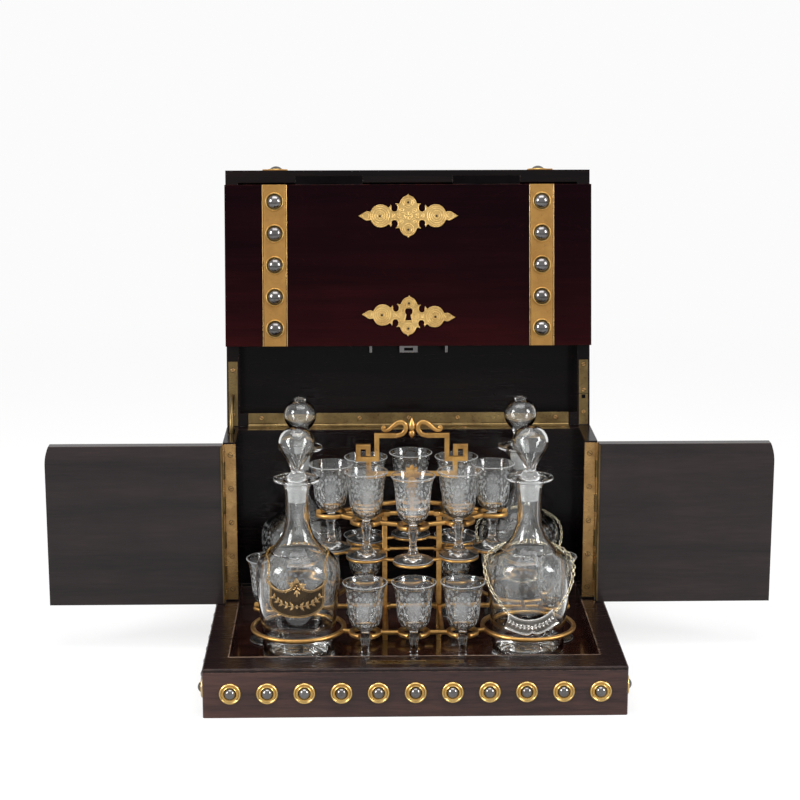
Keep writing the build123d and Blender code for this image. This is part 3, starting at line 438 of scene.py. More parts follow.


# Each edge colour goes on the edges and scratches: wear, and on the edges partly a painted highlight
woods = {
    # the plinth's lighter colour is partly the wood's tone, partly a painted sheen
    "plinthWood": {"dark": (0.02, 0.008, 0.0075, 1), "light": (0.15, 0.066, 0.052, 1), "figure": 0.85,
                   "coat": 0.25, "gloss": 0.35, "coatRough": 0.14, "edge": (0.16, 0.07, 0.05, 1),
                   "scratch": 0.25, "stretch": (5.0, 70.0, 70.0)},
    # the well's edge strip: its light colour is partly wear, partly a painted highlight
    "wearAndHighlightWood": {"dark": (0.02, 0.011, 0.009, 1), "light": (0.3, 0.19, 0.13, 1), "figure": 1.0, "coat": 0.3,
                 "gloss": 0.5, "coatRough": 0.12, "edge": (0.6, 0.42, 0.3, 1), "scratch": 0.2,
                 "stretch": (26.0, 60.0, 60.0)},
    "blackWood": {"dark": (0.0018, 0.0012, 0.0018, 1), "light": (0.015, 0.0075, 0.0068, 1), "figure": 0.7,
                  "coat": 0.08, "gloss": 0.1, "coatRough": 0.08, "edge": (0.045, 0.016, 0.012, 1),
                  "scratch": 0.2, "stretch": (4.0, 55.0, 55.0)},
    "rimWood": {"dark": (0.008, 0.004, 0.0045, 1), "light": (0.02, 0.0095, 0.0085, 1), "figure": 0.8,
                "coat": 0.08, "gloss": 0.22, "dry": 0.1, "coatRough": 0.2, "edge": (0.26, 0.15, 0.11, 1),
                "rub": 0.0012, "scratch": 0.3, "stretch": (4.0, 55.0, 55.0)},
    # the doors' lighter, greyer colour is partly the wood's tone, partly a painted sheen
    "doorWood": {"dark": (0.0125, 0.0095, 0.0105, 1), "light": (0.05, 0.032, 0.031, 1), "figure": 0.75,
                 "coat": 0.15, "gloss": 0.3, "coatRough": 0.22, "edge": (0.09, 0.05, 0.04, 1),
                 "scratch": 0.45, "stretch": (4.0, 60.0, 60.0)},
    "trayWood": {"dark": (0.005, 0.0016, 0.0016, 1), "light": (0.1, 0.03, 0.018, 1), "figure": 0.8,
                 "coat": 0.5, "gloss": 0.35, "coatRough": 0.05, "edge": (0.1, 0.03, 0.02, 1), "scratch": 0.2,
                 "stretch": (5.0, 60.0, 60.0)},
    # the flap's very dark colour is partly painted shade, and its glow entry paints light towards the lower
    # edge
    "flapWood": {"dark": (0.0042, 0.0007, 0.0016, 1), "light": (0.0125, 0.0018, 0.0032, 1), "figure": 0.7,
                 "coat": 0.02, "gloss": 0.03, "coatRough": 0.07, "edge": (0.09, 0.02, 0.014, 1),
                 "scratch": 0.3, "stretch": (3.0, 80.0, 80.0),
                 "glow": {"low": 0.258, "high": 0.335, "dark": (0.011, 0.0018, 0.0025, 1),
                          "light": (0.036, 0.0045, 0.005, 1)}},
}


def makeWood(name):
    look = woods[name]
    material, t, shader, place = newMaterial(name)
    dark, light = look["dark"], look["light"]
    if "glow" in look:
        # painted light and shade: the colour is lighter and redder towards the free lower edge, darker
        # towards the top
        glow = look["glow"]
        height = t.node("SeparateXYZ")
        t.join(place, height.inputs[0])
        drift = t.noise(t.stretch(place, (6.0, 6.0, 40.0)), 1.0, 3.0)
        wander = t.math("MULTIPLY", t.math("SUBTRACT", drift, 0.5), 0.07)
        fade = t.ramp(t.math("ADD", height.outputs[2], wander), glow["high"], glow["low"])
        dark = t.mix(fade, dark, glow["dark"])
        light = t.mix(fade, light, glow["light"])
    grain = useGroup(t, "wood", Vector=place, Stretch=look["stretch"], Dark=dark, Light=light,
                     Figure=look["figure"])
    rub = useGroup(t, "edge", Vector=place, Radius=look.get("rub", 0.0009), Amount=0.8)
    scratch = useGroup(t, "scratch", Vector=place, Amount=look["scratch"])
    # edges lighter in the edge colour: partly wear, partly a painted highlight
    colour = t.mix(rub["Mask"], grain["Color"], look["edge"])
    t.join(t.mix(t.math("MULTIPLY", scratch["Mask"], 0.35), colour, look["edge"]),
           shader.inputs["Base Color"])
    dry = t.math("ADD", grain["Polish"], look.get("dry", 0.0))
    t.join(t.math("ADD", dry, t.math("MULTIPLY", scratch["Mask"], 0.25)), shader.inputs["Roughness"])
    height = t.math("SUBTRACT", t.math("MULTIPLY", grain["Height"], 0.5), scratch["Mask"])
    t.join(bumpFrom(t, height, 0.25, 0.0002, rub["Normal"]), shader.inputs["Normal"])
    t.feed(shader, **{"Coat Weight": look["coat"], "Coat Roughness": look["coatRough"],
                      "Specular IOR Level": look["gloss"], "IOR": 1.5})
    return material


metals = {
    "strapBrass": {"clean": (0.6, 0.33, 0.1, 1), "dull": (0.32, 0.15, 0.042, 1), "tarnish": 0.55,
                   "rough": (0.3, 0.5), "grain": (40.0, 40.0, 1400.0), "bump": 0.14},
    "strapEdge": {"clean": (0.5, 0.32, 0.12, 1), "dull": (0.24, 0.13, 0.045, 1), "tarnish": 0.5,
                  "rough": (0.24, 0.4), "grain": (300.0, 300.0, 300.0), "bump": 0.1},
    "postBrass": {"clean": (0.56, 0.34, 0.135, 1), "dull": (0.22, 0.115, 0.042, 1), "tarnish": 0.6,
                  "rough": (0.22, 0.42), "grain": (60.0, 500.0, 500.0), "bump": 0.12},
    "hingeBrass": {"clean": (0.27, 0.19, 0.08, 1), "dull": (0.1, 0.062, 0.027, 1), "tarnish": 0.8,
                   "rough": (0.24, 0.46), "grain": (60.0, 500.0, 500.0), "bump": 0.12},
    "gilt": {"clean": (0.85, 0.58, 0.21, 1), "dull": (0.48, 0.27, 0.08, 1), "tarnish": 0.35,
             "rough": (0.26, 0.42), "grain": (300.0, 300.0, 300.0), "bump": 0.06},
    "engravedGilt": {"clean": (0.78, 0.53, 0.2, 1), "dull": (0.36, 0.2, 0.06, 1), "tarnish": 0.6,
                     "rough": (0.34, 0.55), "grain": (900.0, 900.0, 900.0), "bump": 0.5},
    "standGilt": {"clean": (0.66, 0.38, 0.12, 1), "dull": (0.22, 0.1, 0.03, 1), "tarnish": 0.75,
                  "rough": (0.26, 0.46), "grain": (200.0, 200.0, 200.0), "bump": 0.25},
    "steel": {"clean": (0.24, 0.23, 0.23, 1), "dull": (0.07, 0.058, 0.054, 1), "tarnish": 0.55,
              "rough": (0.1, 0.26), "grain": (400.0, 400.0, 400.0), "bump": 0.06},
    "blackened": {"clean": (0.009, 0.0075, 0.008, 1), "dull": (0.004, 0.0034, 0.0036, 1), "tarnish": 0.7,
                  "rough": (0.35, 0.6), "grain": (300.0, 300.0, 300.0), "bump": 0.2},
    "labelSilver": {"clean": (0.86, 0.84, 0.8, 1), "dull": (0.42, 0.4, 0.36, 1), "tarnish": 0.4,
                    "rough": (0.16, 0.36), "grain": (500.0, 500.0, 500.0), "bump": 0.1},
    "silverRecess": {"clean": (0.22, 0.21, 0.19, 1), "dull": (0.07, 0.065, 0.056, 1), "tarnish": 0.6,
                     "rough": (0.34, 0.55), "grain": (700.0, 700.0, 700.0), "bump": 0.4},
    "labelBronze": {"clean": (0.085, 0.06, 0.036, 1), "dull": (0.026, 0.018, 0.013, 1), "tarnish": 0.6,
                    "rough": (0.28, 0.48), "grain": (400.0, 400.0, 400.0), "bump": 0.35},
    "labelGold": {"clean": (0.62, 0.42, 0.2, 1), "dull": (0.26, 0.15, 0.07, 1), "tarnish": 0.6,
                  "rough": (0.2, 0.4), "grain": (400.0, 400.0, 400.0), "bump": 0.1},
    "chainGold": {"clean": (0.66, 0.44, 0.17, 1), "dull": (0.3, 0.17, 0.06, 1), "tarnish": 0.5,
                  "rough": (0.16, 0.3), "grain": (300.0, 300.0, 300.0), "bump": 0.05},
    "chainPale": {"clean": (0.78, 0.7, 0.52, 1), "dull": (0.36, 0.3, 0.19, 1), "tarnish": 0.45,
                  "rough": (0.16, 0.3), "grain": (300.0, 300.0, 300.0), "bump": 0.05},
}


def makeMetal(name):
    look = metals[name]
    material, t, shader, place = newMaterial(name)
    metal = useGroup(t, "metal", Vector=place, Grain=look["grain"], Clean=look["clean"], Dull=look["dull"],
                     Tarnish=look["tarnish"], Rough_Low=look["rough"][0], Rough_High=look["rough"][1])
    rub = useGroup(t, "edge", Vector=place, Radius=0.0004, Amount=0.6)
    # edges towards the clean colour: partly wear, partly a painted highlight
    t.join(t.mix(rub["Mask"], metal["Color"], look["clean"]), shader.inputs["Base Color"])
    t.join(metal["Roughness"], shader.inputs["Roughness"])
    t.join(bumpFrom(t, metal["Height"], look["bump"], 0.0002, rub["Normal"]), shader.inputs["Normal"])
    shader.inputs["Metallic"].default_value = 1.0
    return material


glassLooks = {
    "plainGlass": {"ripple": 0.1, "dust": 0.05},
    "liqueurGlass": {"ripple": 0.14, "dust": 0.07},
    "decanterGlass": {"ripple": 0.12, "dust": 0.07},
}


def makeGlass(name):
    look = glassLooks[name]
    material, t, shader, place = newMaterial(name)
    ripple = t.noise(place, 60.0, 2.0, 0.4)
    t.join(t.ramp(t.noise(place, 900.0, 2.0, 0.5), 0.62, 0.74, 0.0, look["dust"]), shader.inputs["Roughness"])
    t.join(t.mix(t.ramp(ripple, 0.3, 0.7), (0.965, 0.98, 0.975, 1), (0.985, 0.99, 0.985, 1)),
           shader.inputs["Base Color"])
    t.join(bumpFrom(t, ripple, look["ripple"], 0.0004), shader.inputs["Normal"])
    t.feed(shader, **{"Transmission Weight": 1.0, "IOR": 1.5})
    return material


# Wheel-cut decoration: a film of frosted glass on the bowl, clear where it is uncut
frostLooks = {
    "bowlFrost": {"bands": [(0.08, 0.86, 7.0, 4.0, 0.06)], "cut": 0.8, "haze": 0.05},
    "bodyFrost": {"bands": [(0.06, 0.94, 12.0, 6.0, 0.042)], "cut": 0.3, "haze": 0.012},
    # pale films on the glass feet and rims: painted highlights
    "footPaintedHighlight": {"bands": [], "cut": 0.0, "haze": 0.05},
    "rimPaintedHighlight": {"bands": [], "cut": 0.0, "haze": 0.42},
    "jointFrost": {"bands": [], "cut": 0.0, "haze": 0.5},
}


def makeFrost(name):
    look = frostLooks[name]
    material, t, shader, place = newMaterial(name)
    spread = t.node("SeparateXYZ")
    t.join(t.node("UVMap", uv_map="UVMap").outputs[0], spread.inputs[0])
    grit = t.noise(place, 1400.0, 2.0, 0.6)
    cover = t.math("MULTIPLY", t.ramp(grit, 0.3, 0.7, 0.5, 1.1), look["haze"])
    for low, high, repeats, ovals, wide in look["bands"]:
        band = useGroup(t, "engraving", Around=spread.outputs[0], Up=spread.outputs[1], Low=low, High=high,
                        Repeats=repeats, Ovals=ovals, Oval_Width=wide)
        cut = t.math("MULTIPLY", t.math("MULTIPLY", band["Mask"], look["cut"]),
                     t.ramp(grit, 0.25, 0.75, 0.6, 1.2))
        cover = t.math("MAXIMUM", cover, cut)
        t.join(bumpFrom(t, band["Cut"], 0.3, 0.0002), shader.inputs["Normal"])
    t.join(t.math("MINIMUM", cover, 0.9), shader.inputs["Alpha"])
    t.join(t.mix(grit, (0.78, 0.8, 0.8, 1), (0.95, 0.96, 0.96, 1)), shader.inputs["Base Color"])
    t.join(t.ramp(grit, 0.3, 0.7, 0.45, 0.65), shader.inputs["Roughness"])
    return material


finish = {name: makeWood(name) for name in woods}
finish.update({name: makeMetal(name) for name in metals})
finish.update({name: makeGlass(name) for name in glassLooks})
finish.update({name: makeFrost(name) for name in frostLooks})
print("materials made")

# The solids whose shape is kept
keptSolids = {
    "plinthWood": ["base_plinth"],
    "rimWood": ["base_top"],
    "blackWood": ["back_panel", "side_return_left", "side_return_right", "lid_board", "lid_frame"],
    "doorWood": ["door_left", "door_right"],
    "trayWood": ["stand_tray"],
    "flapWood": ["flap_panel"],
    "postBrass": ["post_leaf_left", "post_leaf_right"],
    "hingeBrass": ["lid_hinge_lower", "lid_hinge_upper", "lid_stay", "lid_rim_plate",
                   "door_leaf_left", "door_leaf_right", "strike_plate"],
    "blackened": ["flap_hinge_upper", "flap_hinge_lower"],
    "strapBrass": ["lid_strap_left", "lid_strap_right"],
    "steel": ["flap_lock"],
}
for look, names in keptSolids.items():
    for name in names:
        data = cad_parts[name].data
        data.materials.clear()
        data.materials.append(finish[look])
print("kept solids finished")

# The well's inner edge: a thin light strip, partly wear and partly a painted highlight
wellEdge = {"half": 150.0, "front": -91.0, "back": 50.0, "top": 41.0, "wide": 0.9, "high": 0.5}
reach = wellEdge["half"] + wellEdge["wide"] / 2
lip = [(-reach, wellEdge["back"]), (-reach, wellEdge["front"] - wellEdge["wide"] / 2),
       (reach, wellEdge["front"] - wellEdge["wide"] / 2), (reach, wellEdge["back"])]
wearAndHighlightStrip = sweep([(x, y, wellEdge["top"] - 0.1) for x, y in lip],
             roundBar(wellEdge["wide"], wellEdge["high"], 0.2))
Bag().add(wearAndHighlightStrip).piece("wellEdge", finish["wearAndHighlightWood"], "case", "ebonised_wood", 40)

# Studs: a dished gilt ring round a polished steel dome
studs = {
    "base": {"ring": [(4.6, 0.0), (8.7, 0.0), (8.8, 0.9), (8.35, 1.75), (7.75, 2.0), (7.2, 1.6), (6.7, 1.0),
                      (6.1, 0.8), (5.7, 1.15), (5.35, 1.5), (5.05, 1.3), (4.95, 0.6)],
             "radius": 4.88, "height": 4.85},
    "flap": {"ring": [(6.0, 0.0), (8.15, 0.0), (8.25, 0.7), (8.0, 1.4), (7.55, 1.75), (7.15, 1.5),
                      (6.95, 0.9), (6.9, 0.3)],
             "radius": 6.85, "height": 4.45},
}


def domeProfile(radius, height, steps=9):
    cap = (radius ** 2 + height ** 2) / (2 * height)
    full = math.asin(min(1, radius / cap)) if height <= cap else math.pi - math.asin(radius / cap)
    line = [(radius * 0.2, 0.0), (radius, 0.0)]
    for s in range(1, steps + 1):
        turn = full * (1 - s / steps)
        line.append((max(0, cap * math.sin(turn)), height - cap + cap * math.cos(turn)))
    return line


# Where the studs sit: round the base, down the flap, over the lid and on its front edge
studPlaces = {
    "baseFront": -120.0, "baseSide": 170.0, "baseZ": 20.5, "basePitch": 29.6, "frontCount": 11,
    "sideCount": 8, "strapCount": 5, "flapTopZ": 169.0, "flapPitch": 28.0, "lidFirstY": -90.5,
    "lidPitch": 45.0, "lidZ": 235.5, "lidEdgeZ": 209.5,
}


def studRows():
    rows = {"base": [], "flap": [], "lid": []}
    at = studPlaces
    for i in range(at["frontCount"]):
        across = (i - (at["frontCount"] - 1) / 2) * at["basePitch"]
        rows["base"].append(facingFront(across, at["baseFront"], at["baseZ"]))
    for side in (-1, 1):
        for i in range(at["sideCount"]):
            along = (i - (at["sideCount"] - 1) / 2) * at["basePitch"]
            turn = Matrix.Rotation(math.radians(90 * side), 4, "Y")
            rows["base"].append(Matrix.Translation((side * at["baseSide"], along, at["baseZ"])) @ turn)
    for side in (-1, 1):
        x = side * chest["trimX"]
        for i in range(at["strapCount"]):
            z, y = at["flapTopZ"] - at["flapPitch"] * i, at["lidFirstY"] + at["lidPitch"] * i
            rows["flap"].append(flapTurn @ facingFront(x, chest["trimFront"], z))
            rows["lid"].append(lidTurn @ Matrix.Translation((x, y, at["lidZ"])))
        rows["lid"].append(lidTurn @ facingFront(x, chest["trimFront"], at["lidEdgeZ"]))
    return rows


rows = studRows()
studSets = [("base", "base", "case", "base_stud_rings", "base_stud_domes"),
            ("flap", "flap", "flap", "flap_stud_bezels", "flap_stud_domes"),
            ("flap", "lid", "lid", "lid_studs", None)]
for kind, key, body, ringNode, domeNode in studSets:
    ring = lathe(studs[kind]["ring"] + studs[kind]["ring"][:1], 48)
    dome = lathe(domeProfile(studs[kind]["radius"], studs[kind]["height"]), 40)
    ringBag, domeBag = Bag(), Bag()
    for place in rows[key]:
        ringBag.add(ring, place)
        domeBag.add(dome, place)
    ringBag.piece(key + "StudRings", finish["gilt"], body, "aged_brass", 40, (ringNode,))
    domeBag.piece(key + "StudDomes", finish["steel"], body, "steel", 50, (domeNode,) if domeNode else ())
print("studs made")

# Straps on the flap: a brushed band between two bright raised edges
strap = {"half": 11.0, "top": 184.0, "bottom": 41.5, "edge": 0.9, "gap": 0.5, "deep": 0.8}
for side, name in ((-1, "left"), (1, "right")):
    bag, edges = Bag(), Bag()
    length = strap["top"] - strap["bottom"]
    inner = strap["half"] - strap["edge"] - strap["gap"]
    band = [(-inner, -length / 2), (inner, -length / 2), (inner, length / 2), (-inner, length / 2)]
    middle = (strap["top"] + strap["bottom"]) / 2
    place = flapTurn @ facingFront(side * chest["trimX"], chest["bodyFront"], middle)
    bag.add(cutPlate([band], strap["deep"], 0.1), place)
    for rim in (-1, 1):
        x = rim * (strap["half"] - strap["edge"] / 2)
        edges.add(sweep([(x, -length / 2, 0.5), (x, length / 2, 0.5)], roundBar(strap["edge"], 1.0, 0.35)),
                  place)
    bag.piece("flapStrap" + name.title(), finish["strapBrass"], "flap", "aged_brass", 35,
              ("flap_strap_" + name,))
    edges.piece("flapStrapEdges" + name.title(), finish["strapEdge"], "flap", "aged_brass", 35)

# Escutcheons: a pierced plate with a raised edge, chased rings and scrolls, held by pins
escutcheons = {
    "upper": {"z": 156.2, "wide": 1.0, "tall": 1.0, "turn": 0.0, "keyhole": False,
              "node": "escutcheon_upper"},
    "lower": {"z": 68.0, "wide": 0.943, "tall": 0.93, "turn": -2.0, "keyhole": True,
              "node": "escutcheon_lower"},
}
chasing = {
    "discs": [(25.1, 0, (8.3, 6.4, 4.4, 2.4)), (-25.1, 0, (8.3, 6.4, 4.4, 2.4)), (0, 12.0, (4.9, 3.2)),
              (0, -12.0, (4.9, 3.2))],
    "scrolls": [(13.0, 0.9, 1.5), (5.4, 5.0, 2.4), (8.0, 1.4, 1.6)],
    "pin": [(0.0, 0.8), (1.05, 0.85), (0.95, 1.2), (0.5, 1.45), (0.0, 1.5)], "tipRing": 37.4,
    "tipBar": (33.4, 34.8), "rosette": 3.4, "rays": 6, "ray": (0.8, 2.9), "proud": 0.88,
}


def escutcheonOutline(wide, tall):
    quarter = [(0.0, 19.5), (1.1, 18.0), (2.6, 17.5), (4.4, 16.6), (5.9, 15.0), (7.0, 13.0), (7.6, 11.3),
               (8.6, 10.7), (11.3, 10.9), (10.2, 9.6), (9.5, 8.2), (9.4, 6.4), (9.95, 4.8), (11.3, 3.8),
               (13.1, 3.8), (14.45, 4.8), (14.9, 6.4), (14.7, 7.6), (15.3, 9.8), (16.4, 8.2), (17.6, 7.4),
               (19.4, 8.9), (21.8, 9.9), (24.6, 10.2), (27.4, 9.8), (29.8, 8.5), (31.6, 6.6), (32.7, 4.6),
               (33.5, 3.5), (34.6, 3.9), (36.2, 4.2), (37.9, 3.8), (39.6, 2.7), (41.3, 1.6), (42.6, 0.9),
               (43.9, 0.0)]
    right = quarter + [(x, -y) for x, y in quarter[-2::-1]]
    whole = right + [(-x, y) for x, y in right[-2:0:-1]]
    return [(x * wide, y * tall) for x, y in whole]


def ringRound(x, y, radius, thick, z):
    return sweep(arcPoints(radius, 0, 350, 35, (x, y), z), roundBar(thick, thick * 0.8, thick * 0.3, 2),
                 closed=True)


def drawnIn(outline, amount):
    # the closed outline moved inwards by `amount`
    moved, count = [], len(outline)
    area = sum(a[0] * b[1] - b[0] * a[1] for a, b in zip(outline, outline[1:] + outline[:1]))
    side = 1 if area > 0 else -1
    for i, point in enumerate(outline):
        a = (Vector(point) - Vector(outline[i - 1])).normalized()
        b = (Vector(outline[(i + 1) % count]) - Vector(point)).normalized()
        inward = Vector((-a.y - b.y, a.x + b.x)) * side
        inward = inward.normalized() if inward.length > 1e-6 else Vector((0, 0))
        moved.append((point[0] + inward.x * amount, point[1] + inward.y * amount))
    return moved


def spiral(x, y, radius, start, turns, flip, z):
    line, count = [], int(16 * turns)
    for i in range(count + 1):
        reach, turn = radius * (1 - 0.8 * i / count), start + flip * 2 * math.pi * turns * i / count
        line.append((x + reach * math.cos(turn), y + reach * math.sin(turn), z))
    return line


pinBag = Bag()
for key, look in escutcheons.items():
    wide, tall = look["wide"], look["tall"]
    outline = escutcheonOutline(wide, tall)
    bag = Bag()
    lean = Matrix.Rotation(math.radians(look["turn"]), 4, "Z")
    place = flapTurn @ facingFront(0, chest["bodyFront"], look["z"]) @ lean
    keyhole = [(x, y) for x, y, _ in arcPoints(3.3, 235, -55, 22, (0, 3.9))] + [(2.9, -4.0), (-2.9, -4.0)]
    bag.add(cutPlate([outline, keyhole] if look["keyhole"] else [outline], 0.85, 0.1, 1), place)
    bag.add(sweep([(x, y, 0.9) for x, y in drawnIn(outline, 0.5)], roundBar(0.6, 0.5, 0.18, 2), closed=True),
            place)
    z = chasing["proud"]
    for x, y, sizes in chasing["discs"]:
        for size in sizes:
            bag.add(ringRound(x * wide, y * tall, size * tall, 0.4, z), place)
        pinBag.add(lathe(chasing["pin"], 16), place @ Matrix.Translation((x * wide, y * tall, 0)))
    for side in (-1, 1):
        bag.add(ringRound(side * chasing["tipRing"] * wide, 0, 2.6 * tall, 0.35, z), place)
        bag.add(sweep([(side * x * wide, 0, z) for x in chasing["tipBar"]], roundBar(0.35, 0.3, 0.1, 1)),
                place)
        for up in (-1, 1):
            for x, y, radius in chasing["scrolls"]:
                start = math.atan2(-up * y, -side * x)
                scroll = spiral(side * x * wide, up * y * tall, radius, start, 1.4, side * up, z)
                bag.add(sweep(scroll, roundBar(0.4, 0.32, 0.12, 1)), place)
    if look["keyhole"]:
        bag.add(sweep([(x, y, 0.95) for x, y in drawnIn(keyhole, -0.45)], roundBar(0.75, 0.6, 0.2, 2),
                      closed=True), place)
    else:
        bag.add(ringRound(0, 0, chasing["rosette"], 0.4, 0.9), place)
        for i in range(chasing["rays"]):
            turn = math.radians(360 / chasing["rays"] * (i + 0.5))
            ray = [(reach * math.cos(turn), reach * math.sin(turn), 0.9) for reach in chasing["ray"]]
            bag.add(sweep(ray, roundBar(0.5, 0.36, 0.15, 1)), place)
    bag.piece("escutcheon" + key.title(), finish["engravedGilt"], "flap", "aged_brass", 30, (look["node"],))
pinBag.piece("escutcheonPins", finish["labelBronze"], "flap", "aged_brass", 40)
print("flap trim made")

# Slotted brass screws in the hinge leaves, the posts and the lid's rim plates
screwHead = {"radius": 1.9, "proud": 0.18, "slot": 0.5}
screwPlaces = {
    "hingeCount": 7, "hingePitch": 43.8, "hingeY": 107.2, "lowerShift": 6.0, "lowerZ": 184.0, "upperZ": 184.5,
    "postX": 155.6, "postZ": (52, 82, 112.5, 143, 173), "plateX": 156.5, "rightPlate": (31, 54, 11.5),
    "leftPlate": (10, 50),
}


def screw(turn):
    r, h, s = screwHead["radius"], screwHead["proud"], screwHead["slot"]
    halves = Bag()
    for side in (-1, 1):
        start = math.degrees(math.asin(s / 2 / r))
        arc = arcPoints(r, start, 180 - start, 14) if side > 0 else arcPoints(r, 180 + start, 360 - start, 14)
        halves.add(cutPlate([[(x, y) for x, y, _ in arc]], h + 0.3, 0.06, 1))
    verts = [Matrix.Rotation(turn, 4, "Z") @ v for v in halves.verts]
    return [(v.x, v.y, v.z - 0.3) for v in verts], halves.faces, None


def underLid(x, y):
    return lidTurn @ Matrix.Translation((x, y, screwPlaces["upperZ"])) @ Matrix.Rotation(math.pi, 4, "X")


def screwSpots():
    spots = {"case": [], "lid": []}
    at = screwPlaces
    for i in range(at["hingeCount"]):
        x = (i - at["hingeCount"] // 2) * at["hingePitch"]
        spots["lid"].append(underLid(x, at["hingeY"]))
        spots["case"].append(Matrix.Translation((x + at["lowerShift"], at["hingeY"], at["lowerZ"])))
    for z in at["postZ"]:
        for side in (-1, 1):
            spots["case"].append(facingFront(side * at["postX"], chest["hingeFace"], z))
    for side, plate in ((1, at["rightPlate"]), (-1, at["leftPlate"])):
        for back in plate:
            spots["lid"].append(underLid(side * at["plateX"], chest["lidPinY"] - back))
    return spots


pick = random.Random(4)
# a dark disc under each screw head: painted shadow round the screw
screwShadowDisc = lathe([(2.35, -0.2), (2.3, 0.05), (0.0, 0.06)], 24)
for body, spots in screwSpots().items():
    bag, screwShadowDiscs = Bag(), Bag()
    for spot in spots:
        bag.add(screw(pick.uniform(0, math.pi)), spot)
        screwShadowDiscs.add(screwShadowDisc, spot)
    bag.piece(body + "Screws", finish["postBrass"], body, "aged_brass", 30)
    screwShadowDiscs.piece(body + "ScrewShadows", finish["labelBronze"], body, "aged_brass", 30)

# A thin dark wire on the lid hinge's axis closes the seam past its leaves: painted shade in the seam
seamShadeWire = {"from": 142.2, "to": 161.8, "radius": 0.24}
wires = Bag()
rod = lathe([(0.0, seamShadeWire["from"]), (seamShadeWire["radius"], seamShadeWire["from"]), (seamShadeWire["radius"], seamShadeWire["to"]),
             (0.0, seamShadeWire["to"])], 16)
for side in (-1, 1):
    wires.add(rod, Matrix.Translation((0, chest["lidPinY"], chest["pinZ"]))
              @ Matrix.Rotation(math.radians(90 * side), 4, "Y"))
wires.piece("lidSeamShade", finish["blackened"], "case", "aged_brass", 30)
print("screws made")

# Stand: rounded cast bars, rings and open clips
stand = {
    "bar": 4.2, "deep": 3.6, "clip": 11.5, "clipGap": 24.0, "ring": 37.6, "ringBar": 4.0, "foot": 15.0,
    "footBar": 3.8, "footDeep": 2.2, "lowerZ": 52.0, "footZ": 102.9, "upperZ": 134.0, "postX": 23.0,
    "post": 4.3, "postTop": 135.8, "collar": 4.3, "rowX": 40, "rowY": 69, "sideX": 122, "decanterX": 95,
    "decanterY": 53, "cornerX": 38.6, "cornerY": 24.5, "middleY": 39.5, "upperSideX": 68.3,
    # how far a bar's end stays from the middle of what it meets
    "clipCut": 10.5, "sideCut": 10, "cornerCut": 11, "ringCut": 36.5,
}
decanterPlaces = [(x * stand["decanterX"], y * stand["decanterY"]) for y in (-1, 1) for x in (-1, 1)]
lowerFront, lowerBack = [[(x * stand["rowX"], y * stand["rowY"]) for x in (-1, 0, 1)] for y in (-1, 1)]
lowerSides = [(x * stand["sideX"], 0) for x in (-1, 1)]
upperFront, upperBack = [[(-stand["cornerX"], y * stand["cornerY"]), (0, y * stand["middleY"]),
                          (stand["cornerX"], y * stand["cornerY"])] for y in (-1, 1)]
upperSides = [(x * stand["upperSideX"], 0) for x in (-1, 1)]


def joinTo(bag, start, stop, startCut, stopCut, z, width, deep):
    a, b = Vector((*start, z)), Vector((*stop, z))
    run = (b - a).normalized()
    section = roundBar(width, deep, min(1.1, deep * 0.35))
    bag.add(sweep([a + run * startCut, b - run * stopCut], section), standShift)


def addClip(bag, centre, turn, z):
    gap = stand["clipGap"]
    steps, flare = 40, 3
    points = arcPoints(stand["clip"], turn + gap, turn + 360 - gap, steps, centre, z)
    fromEnd = [min(i, steps - i) for i in range(steps + 1)]
    ends = [1.0 + 0.16 * math.cos(math.pi * i / 6) ** 2 if i < flare else 1.0 for i in fromEnd]
    bag.add(sweep(points, roundBar(stand["bar"], stand["deep"], 1.3), ends=ends), standShift)


def addClips(bag, front, back, sides, z):
    for spots, turn in ((front, -90), (back, 90), (sides[:1], 180), (sides[1:], 0)):
        for centre in spots:
            addClip(bag, centre, turn, z)


def addCollars(bag, z, deep, bevel):
    half = stand["collar"]
    square = [(-half, -half), (half, -half), (half, half), (-half, half)]
    for side in (-1, 1):
        bag.add(cutPlate([square], deep, bevel), standShift
                @ Matrix.Translation((side * stand["postX"], 0, z - deep / 2)))


lower = Bag()
z, bar, deep, post = stand["lowerZ"], stand["bar"], stand["deep"], stand["postX"]
for centre in decanterPlaces:
    lower.add(sweep(arcPoints(stand["ring"], 0, 355, 71, centre, z), roundBar(stand["ringBar"], deep, 1.5),
                    closed=True), standShift)
addClips(lower, lowerFront, lowerBack, lowerSides, z)
joinTo(lower, lowerSides[0], (-post, 0), stand["sideCut"], 0, z, bar, deep)
joinTo(lower, (post, 0), lowerSides[1], 0, stand["sideCut"], z, bar, deep)
joinTo(lower, (-post, 0), (post, 0), 0, 0, z, bar, deep)
for back in (-1, 1):
    y, bottleY = back * stand["rowY"], back * stand["decanterY"]
    for side in (-1, 1):
        rowX, bottleX = side * stand["rowX"], side * stand["decanterX"]
        joinTo(lower, (0, y), (rowX, y), stand["clipCut"], stand["clipCut"], z, bar, deep)
        joinTo(lower, (side * post, 0), (side * post, y), 0, 0, z, bar, deep)
        joinTo(lower, (rowX, y), (bottleX, bottleY), stand["cornerCut"], stand["ringCut"], z, bar, deep)
        joinTo(lower, (bottleX, 0), (bottleX, bottleY), 0, stand["ringCut"], z, bar, deep)
addCollars(lower, z, deep, 0.5)
lower.piece("lowerTier", finish["standGilt"], "stand", "gilt_brass", 40, ("stand_lower_tier",))

